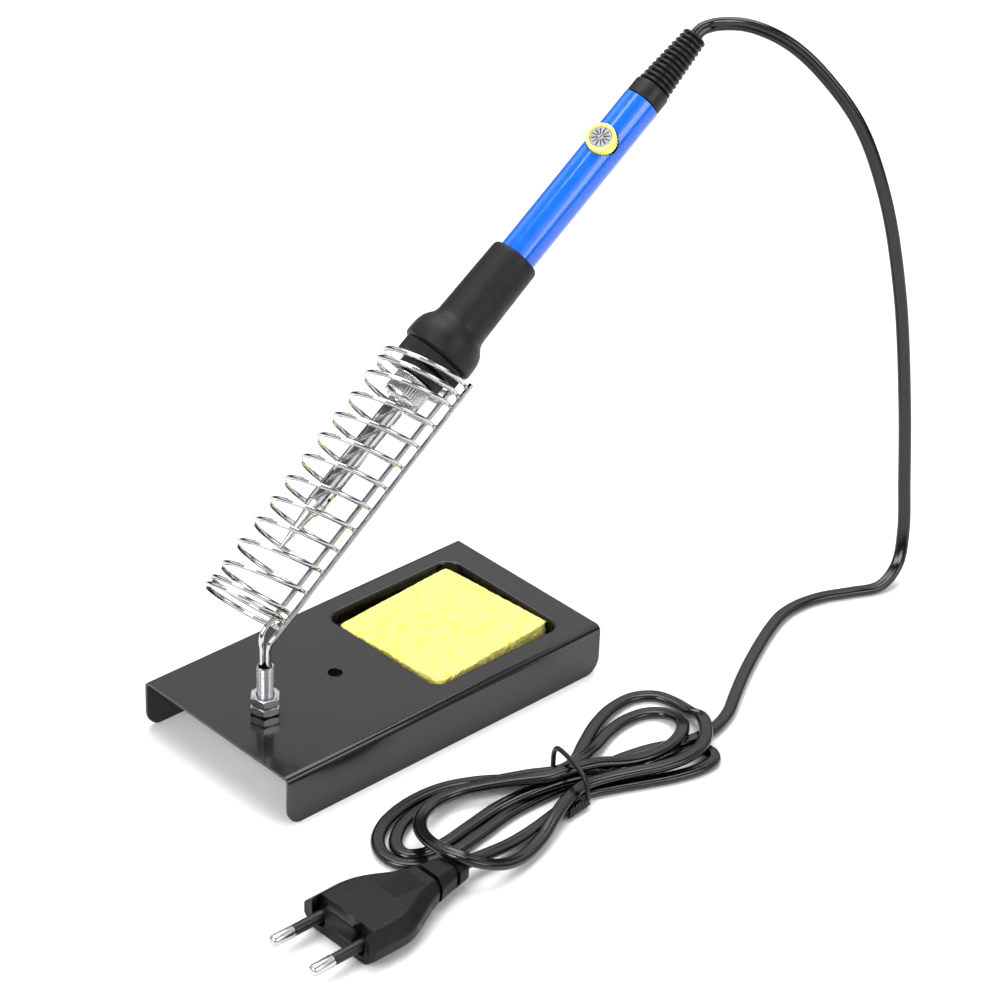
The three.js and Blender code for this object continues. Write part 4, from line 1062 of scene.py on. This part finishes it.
black = two_tone("satin_black_plastic", 0.35, tones=(linear(8, 8, 9), linear(16, 16, 17)),
                 cloud=(0.006, 4), shine=(0.003, 3, 0.32, 0.5), grain=(0.0007, 2, 0.00002),
                 Specular_IOR_Level=0.35)
bush = turned("iron_bush", [
    (3.0, 82.6), (5.3, 82.6), (5.6, 82.9), (5.6, 89.6), (8.2, 89.6), (8.5, 89.9), (8.5, 93.9),
    (8.2, 94.2), (5.4, 94.2), (5.4, 116.8), (3.0, 116.8), (3.0, 82.6)], 64)
softened(bush, 0.1 * MM, 2)
laid(bush, IRON, "iron", "dark_plastic", black, "front_bush")


def fine_ribs(radius, turn, height):
    """Ribs along the ring's rim, for a finger's hold."""
    if radius < 10.9:
        return radius
    return radius - 0.22 + 0.22 * math.cos(72 * turn)


rib_rows = [(11.6, 94.9 + 0.35 * i) for i in range(13)]
ring = turned("iron_ribbed_ring", [(5.7, 94.5), (11.1, 94.5), (11.45, 94.65)] + rib_rows
              + [(11.45, 99.35), (11.1, 99.5), (5.7, 99.5), (5.7, 94.5)], 360, fine_ribs)
laid(ring, IRON, "iron", "dark_plastic", black, "ribbed_collar")

# %% [markdown]
# ## The handle
# A soft black grip with a bell-shaped flange is pushed on a glossy blue tube. The grip is matte
# and faintly pebbled from its mould, and the tube is injection-moulded with slight flow marks.

# %% Grip
rubber = two_tone("grip_rubber", 0.5, tones=(linear(6, 6, 7), linear(14, 14, 15)),
                  cloud=(0.008, 5), shine=(0.004, 4, 0.42, 0.6), grain=(0.0009, 3, 0.00009),
                  Specular_IOR_Level=0.3, Sheen_Weight=0.02, Sheen_Roughness=0.4)
rubber.bump(rubber.cells(0.0018), 0.00004, 0.6)
bell = [(7.1, 99.8), (11.6, 99.8), (12.3, 100.0), (12.75, 100.6), (12.9, 101.5), (12.85, 103.6),
        (12.7, 105.4), (12.4, 107.0), (11.9, 108.4), (11.1, 109.7), (10.3, 110.7), (9.75, 111.6),
        (9.45, 112.7), (9.32, 114.2)]
body = [(9.3 - 0.5 * (i / 12), 115.5 + i * 2.15) for i in range(13)]
grip = turned("iron_grip", bell + body + [(8.6, 142.3), (8.25, 142.7), (7.8, 142.8), (7.1, 142.8),
                                          (7.1, 99.8)], 96)
modified(grip, "WEIGHTED_NORMAL", weight=60)
laid(grip, IRON, "iron", "grip_rubber", rubber, "grip_sleeve")

# %% Blue tube with its knob well
blue = two_tone("blue_handle", 0.2, tones=(linear(16, 92, 205), linear(24, 102, 218)),
                cloud=(0.006, 5, 0.6), shine=(0.003, 3, 0.1, 0.17), grain=(0.005, 2, 0.000008),
                turn=IRON_TURN, stretch=(1, 1, 0.25), Specular_IOR_Level=0.55, Coat_Weight=0.35,
                Coat_Roughness=0.06, Subsurface_Weight=0.05, Subsurface_Scale=0.002)
tube = turned("iron_handle_tube", [
    (5.7, 104.8), (6.8, 104.8), (6.8, 150), (6.8, 210.6), (6.6, 210.8), (5.7, 210.8),
    (5.7, 104.8)], 96)
well = turned("well", [(0, 0), (5.5, 0), (5.5, 8.6), (0, 8.6)], 64)
well.data.transform(IRON.inverted() @ KNOB)
carved(tube, well)
softened(tube, 0.18 * MM, 3)
laid(tube, IRON, "iron", "blue_plastic", blue, "handle_tube")

# %% [markdown]
# ## The heat knob
# The knob is a yellow ring with a grey face whose dark marks run out like rays. The marks are
# cut as real grooves, so that the shape is in the mesh and not only in its colour.

# %% Knob ring
yellow = two_tone("yellow_knob", 0.32, tones=(linear(255, 240, 110), linear(255, 247, 140)),
                  cloud=(0.003, 4), shine=(0.002, 3, 0.26, 0.42), grain=(0.0008, 2, 0.00001),
                  Specular_IOR_Level=0.5, Subsurface_Weight=0.1, Subsurface_Scale=0.0015)


def knob_flutes(radius, turn, height):
    """Shallow flutes down the side of the knob."""
    return radius - 0.09 + 0.09 * math.cos(30 * turn) if radius > 4.9 and height < 8.4 else radius


knob_side = [(5.2, 4.7 + 0.45 * i) for i in range(9)]
knob = turned("knob_yellow_ring", [(0, 4.6), (5.1, 4.6)] + knob_side + [
    (5.15, 8.6), (5.02, 8.82), (4.8, 8.96), (4.55, 9.0), (4.1, 9.0), (3.95, 8.9), (3.86, 8.7),
    (3.86, 7.7), (0, 7.7)], 180, knob_flutes)
laid(knob, KNOB, "knob", "yellow_plastic", yellow, "knob_ring")

# %% Knob face
grey = two_tone("grey_knob_face", 0.45, tones=(linear(140, 140, 142), linear(160, 160, 162)),
                cloud=(0.002, 4), shine=(0.001, 3, 0.38, 0.55), grain=(0.0006, 2, 0.00001),
                Specular_IOR_Level=0.45)
dial = turned("knob_face", [(0, 8.0), (3.7, 8.0), (3.7, 8.7), (3.62, 8.78), (0, 8.8)], 96)
for i in range(12):
    start, end = (0.9, 3.15) if i % 3 else (1.2, 3.4)
    mark = block("mark", (end - start, 0.34 if i % 2 else 0.44, 1), ((start + end) / 2, 0, 8.95))
    mark.data.transform(Matrix.Rotation(math.radians(30 * i + 8), 4, "Z"))
    carved(dial, mark)
carved(dial, block("slot", (1.5, 0.3, 1), (0, 0, 9)))
dark_mark = plain_finish("dial_groove", (30, 30, 32), (44, 44, 46), (0.5, 0.65), 0.0005, 0.00001)
laid(dial, KNOB, "knob", "grey_plastic", grey, "knob_dial")
dial.data.materials.append(dark_mark.material)
TO_KNOB = KNOB.inverted()
face_height = max((TO_KNOB @ v.co).z for v in dial.data.vertices)
for face in dial.data.polygons:
    depth = face_height - (TO_KNOB @ face.center).z
    radius = (TO_KNOB @ face.center).to_2d().length
    if 0.05 * MM < depth < 0.5 * MM and radius < 3.55 * MM:
        face.material_index = 1

# %% [markdown]
# ## The strain relief
# Where the lead leaves the handle a moulded sleeve keeps it from bending sharply. It starts as a
# plain collar and goes on as twelve ribs that get smaller. The ribs are in the spun profile.

# %% Strain relief
RIBS, RIB_PITCH, FIRST_RIB, LAST_RIB = 12, 1.95, 6.15, 4.45
RIB_SHAPE = [(1.15, 0.05), (1.15, 0.55), (0.32, 0.68), (0.06, 0.85), (0, 1.15), (0.08, 1.5),
             (0.4, 1.72), (1.15, 1.85)]
relief_profile = [(0, 211.1), (6.3, 211.1), (6.6, 211.35), (6.6, 216.5), (6.45, 216.9),
                  (5.1, 217.0)]
for i in range(RIBS):
    rib = FIRST_RIB + (LAST_RIB - FIRST_RIB) * i / (RIBS - 1)
    start = 217.1 + i * RIB_PITCH
    relief_profile += [(rib - inwards, start + along) for inwards, along in RIB_SHAPE]
relief_profile = relief_profile[:-1] + [(3.6, 240.45), (2.9, 240.5), (0, 240.5)]
relief = turned("iron_strain_relief", relief_profile, 64)
mouth = added(bpy.ops.mesh.primitive_cylinder_add, "mouth", vertices=32, radius=2.75 * MM,
              depth=3 * MM, location=(0, 0, 240.6 * MM))
settled(mouth)
carved(relief, mouth)
softened(relief, 0.08 * MM, 1, smooth=50, angle=50)
laid(relief, IRON, "iron", "dark_plastic", black, "strain_relief")

# %% [markdown]
# ## The plug
# A flat two-pin plug is moulded on the end of the lead. Its body is an eight-sided slab that
# draws in to a neck, so rings of points are set along it and bridged. Then it is cut: a pocket
# round each pin, and two grooves across the neck. Low ribs help the fingers.

# %% Plug body
PLUG = Matrix.Translation((BASE_X - 98 * MM, -94 * MM, 6.3 * MM))
PIN_OFFSET = 9.3


def plug_ring(x, half, flat, thick, edge, radius=0.9):
    """An eight-sided ring with rounded corners, square to the plug's length."""
    corners = [(half, edge / 2), (flat, thick / 2), (-flat, thick / 2), (-half, edge / 2),
               (-half, -edge / 2), (-flat, -thick / 2), (flat, -thick / 2), (half, -edge / 2)]
    ring = []
    for i, corner in enumerate(corners):
        here = Vector(corner)
        before, after = Vector(corners[i - 1]), Vector(corners[(i + 1) % 8])
        start = here + (before - here).normalized() * min(radius, (before - here).length * 0.45)
        end = here + (after - here).normalized() * min(radius, (after - here).length * 0.45)
        for t in (0, 0.33, 0.67, 1):
            y, z = start * (1 - t) ** 2 + here * 2 * t * (1 - t) + end * t ** 2
            ring.append((x * MM, y * MM, z * MM))
    return ring


def plug_half_width(x):
    """Half the plug's width: straight, drawn in like a shoulder, then the neck."""
    if x <= 13:
        return 16.6
    if x <= 37:
        t = (x - 13) / 24
        return (16.6 * (1 - t) ** 3 + 3 * 16.4 * t * (1 - t) ** 2
                + 3 * 8.6 * t ** 2 * (1 - t) + 7.3 * t ** 3)
    return 7.3 + (4.25 - 7.3) * ((x - 37) / 14) ** 0.8


def plug_thickness(x):
    if x <= 20:
        return 11.5
    if x <= 37:
        return 11.5 - 1.3 * (1 - math.cos(math.pi * (x - 20) / 17)) / 2
    return 10.2 - 1.8 * (x - 37) / 14


plug_rings = []
for x in [0.0, 0.35, 1.0, 4, 8, 12, 14, 16, 18, 20, 22, 24, 26, 28, 30, 32, 34, 36, 38, 40, 42,
          44, 46, 48, 49.6, 50.5, 51]:
    less = {0.0: 0.55, 0.35: 0.12, 50.5: 0.12, 51: 0.5}.get(x, 0)
    half, thick = plug_half_width(x) - less, plug_thickness(x) - 2 * less
    slope = min(4.2, half * 0.38)
    edge = max(4.0, thick * 0.35) if x > 37 else 4.0
    plug_rings.append(plug_ring(x, half, half - slope, thick, edge))
plug = bridged("plug_flat_body", plug_rings)
for side in (-1, 1):
    pocket = turned("pocket", [(0, -1), (3.1, -1), (3.1, 3.1), (2.8, 3.5), (0, 3.5)], 40)
    pocket.data.transform(Matrix.Rotation(math.radians(90), 4, "Y"))
    chute = block("chute", (4.5, 6.2, 8), (1.25, 0, 4))
    # a hair wider than the pocket, so that the two don't only touch along a line
    chute.data.transform(Matrix.Diagonal((1, 1.0001, 1, 1)))
    carved(pocket, chute, "UNION")
    pocket.data.transform(Matrix.Translation((0, side * PIN_OFFSET * MM, 0)))
    carved(plug, pocket)
for place, lean, deep in ((35.6, 8, 1.5), (45.2, 6, 1.1)):
    groove = block("groove", (1.7, 30, 20))
    core = block("core", (5, 2 * plug_half_width(place) - 2 * deep, plug_thickness(place) - 2 * deep))
    round_corners(core, runs_across, 2.6 * MM, 5)
    carved(groove, core)
    groove.data.transform(Matrix.Translation((place * MM, 0, 0))
                          @ Matrix.Rotation(math.radians(lean), 4, "Y"))
    carved(plug, groove)
for i in range(11):
    rib = block("rib", (0.5, 8.5, 0.7))
    x = 20.5 + 1.1 * i
    slope = (plug_thickness(x + 0.5) - plug_thickness(x - 0.5)) / 2
    rib.data.transform(Matrix.Translation((x * MM, 0, (plug_thickness(x) / 2 - 0.2) * MM))
                       @ Matrix.Rotation(-math.atan(slope), 4, "Y"))
    carved(plug, rib, "UNION")
softened(plug, 0.16 * MM, 2, smooth=40, angle=45)
moulded = two_tone("moulded_plug", 0.42, tones=(linear(4, 4, 5), linear(10, 10, 11)),
                   cloud=(0.007, 4), shine=(0.003, 3, 0.36, 0.52), grain=(0.0008, 3, 0.00004),
                   Specular_IOR_Level=0.22)
laid(plug, PLUG, "root", "cord_black", moulded, "plug_body")

# %% Pins and their sleeves
nickel = two_tone("nickel_pin", 0.25, 1.0, tones=((0.5, 0.5, 0.49, 1), (0.6, 0.6, 0.59, 1)),
                  cloud=(0.004, 4), shine=(0.0015, 4, 0.2, 0.32), grain=(0.0008, 2, 0.000008))
PIN_TURN = Matrix.Rotation(math.radians(-90), 4, "Y")
plug_pieces = [plug]
for side, end in ((-1, "front"), (1, "back")):
    place = PLUG @ Matrix.Translation((0, side * PIN_OFFSET * MM, 0)) @ PIN_TURN
    pin = turned("plug_contact_" + end, [
        (0, -3.2), (1.3, -3.2), (1.3, 10.2), (1.9, 10.3), (2.0, 10.5), (2.0, 17.3), (1.93, 17.9),
        (1.7, 18.4), (1.3, 18.75), (0.7, 18.95), (0, 19)], 48)
    laid(pin, place, "root", "pin_metal", nickel, "plug_pin_" + end)
    sleeve_part = turned("plug_sleeve_" + end, [
        (1.45, -3.2), (1.95, -3.2), (2.05, -3.0), (2.05, 0.6), (1.9, 0.9), (1.88, 9.7), (1.8, 10.0),
        (1.45, 10.0), (1.45, -3.2)], 48)
    laid(sleeve_part, place, "root", "dark_plastic", black, "pin_sleeve_" + end)
    plug_pieces += [pin, sleeve_part]

# %% [markdown]
# ## The wire tie
# A plastic-covered wire goes over the waist of the hank and its two ends are twisted together at
# the front. One path goes up the back, over, down the front and into a small spiral, and a
# second, short one makes the other end of the twist.

# %% Wire tie
TIE_X, TIE_RADIUS, TWISTS = 14.0, 0.85 * MM, 3.2
saddle = [(-70.2, 1.0), (-70.0, 4.5), (-70.3, 8.0), (-71.8, 10.6), (-75.0, 11.5), (-80.5, 11.7),
          (-86.5, 11.3), (-89.8, 10.0), (-91.4, 7.3), (-91.9, 4.4), (-91.8, 2.6)]
saddle_path = [Vector((BASE_X + (TIE_X + 0.25 * (y + 80)) * MM, y * MM, z * MM))
               for y, z in saddle]
tail_start = saddle_path[-1]


def twisted(share, side, reach):
    """A step from the tail's start to a share of the way along one of the two twisted ends."""
    angle = share * TWISTS * 2 * math.pi
    return Vector((-reach * share, -0.6 * share + side * 0.75 * math.cos(angle),
                   -0.6 * share + side * 0.7 * math.sin(angle))) * MM


shares = [i / 25 for i in range(26)]
for share in shares[1:]:
    ease_in = Vector((0, 0.75 * (1 - share) ** 9, 0)) * MM
    saddle_path.append(tail_start + twisted(share, 1, 9.5) - ease_in)
tail_path = [tail_start + twisted(share, -1, 9.3) for share in shares]
tie, tail = (wired(name, smoothed(path, 0.5 * MM), TIE_RADIUS)
             for name, path in (("lead_tie", saddle_path), ("tie_tail", tail_path)))
joined(tie, tail)
laid(tie, HERE, "root", "dark_plastic", black, "cord_tie")

# %% [markdown]
# ## What is inside
# The heater, the board and its parts are hidden in the handle. Their shapes come from the
# mechanical model, and they get finishes of their own, so that they look right when the iron is
# taken apart.

# %% Finishes of the inner parts
ceramic = plain_finish("fired_ceramic", (214, 208, 196), (236, 232, 224), (0.55, 0.75), 0.0008,
                       0.00003)
board = Finish("circuit_board_green", 0.35, Specular_IOR_Level=0.5)
board.colour(board.ramp(board.cells(0.0024, randomness=0.6),
                        [(0.42, linear(30, 84, 44)), (0.5, linear(44, 112, 58))]))
board.rough(board.spread(board.noise(0.002), 0.28, 0.45))
board.bump(board.cells(0.0024, randomness=0.6), 0.00003)
film = plain_finish("dipped_film", (116, 58, 32), (146, 78, 44), (0.25, 0.4), 0.0012, 0.00004)
red_wire, blue_wire = (plain_finish(name, dark, light, (0.4, 0.55), 0.0005, 0.00001)
                       for name, dark, light in (
                           ("red_insulation", (150, 26, 20), (184, 40, 32)),
                           ("blue_insulation", (30, 62, 140), (44, 84, 170))))
INSIDE = {
    "heater": ceramic, "fuse_resistor": ceramic, "circuit_board": board,
    "capacitor": film, "potentiometer": black, "triac": black,
    "knob_spindle": grey, "heater_lead_front": red_wire, "heater_lead_back": red_wire,
    "mains_lead_front": blue_wire, "mains_lead_back": blue_wire,
}
for node, finish in INSIDE.items():
    node_object = frame["nodes"][node]
    for material_slot in node_object.material_slots:
        material_slot.material = finish.material
    if not node_object.material_slots:
        node_object.data.materials.append(finish.material)
print("inner parts:", len(INSIDE))
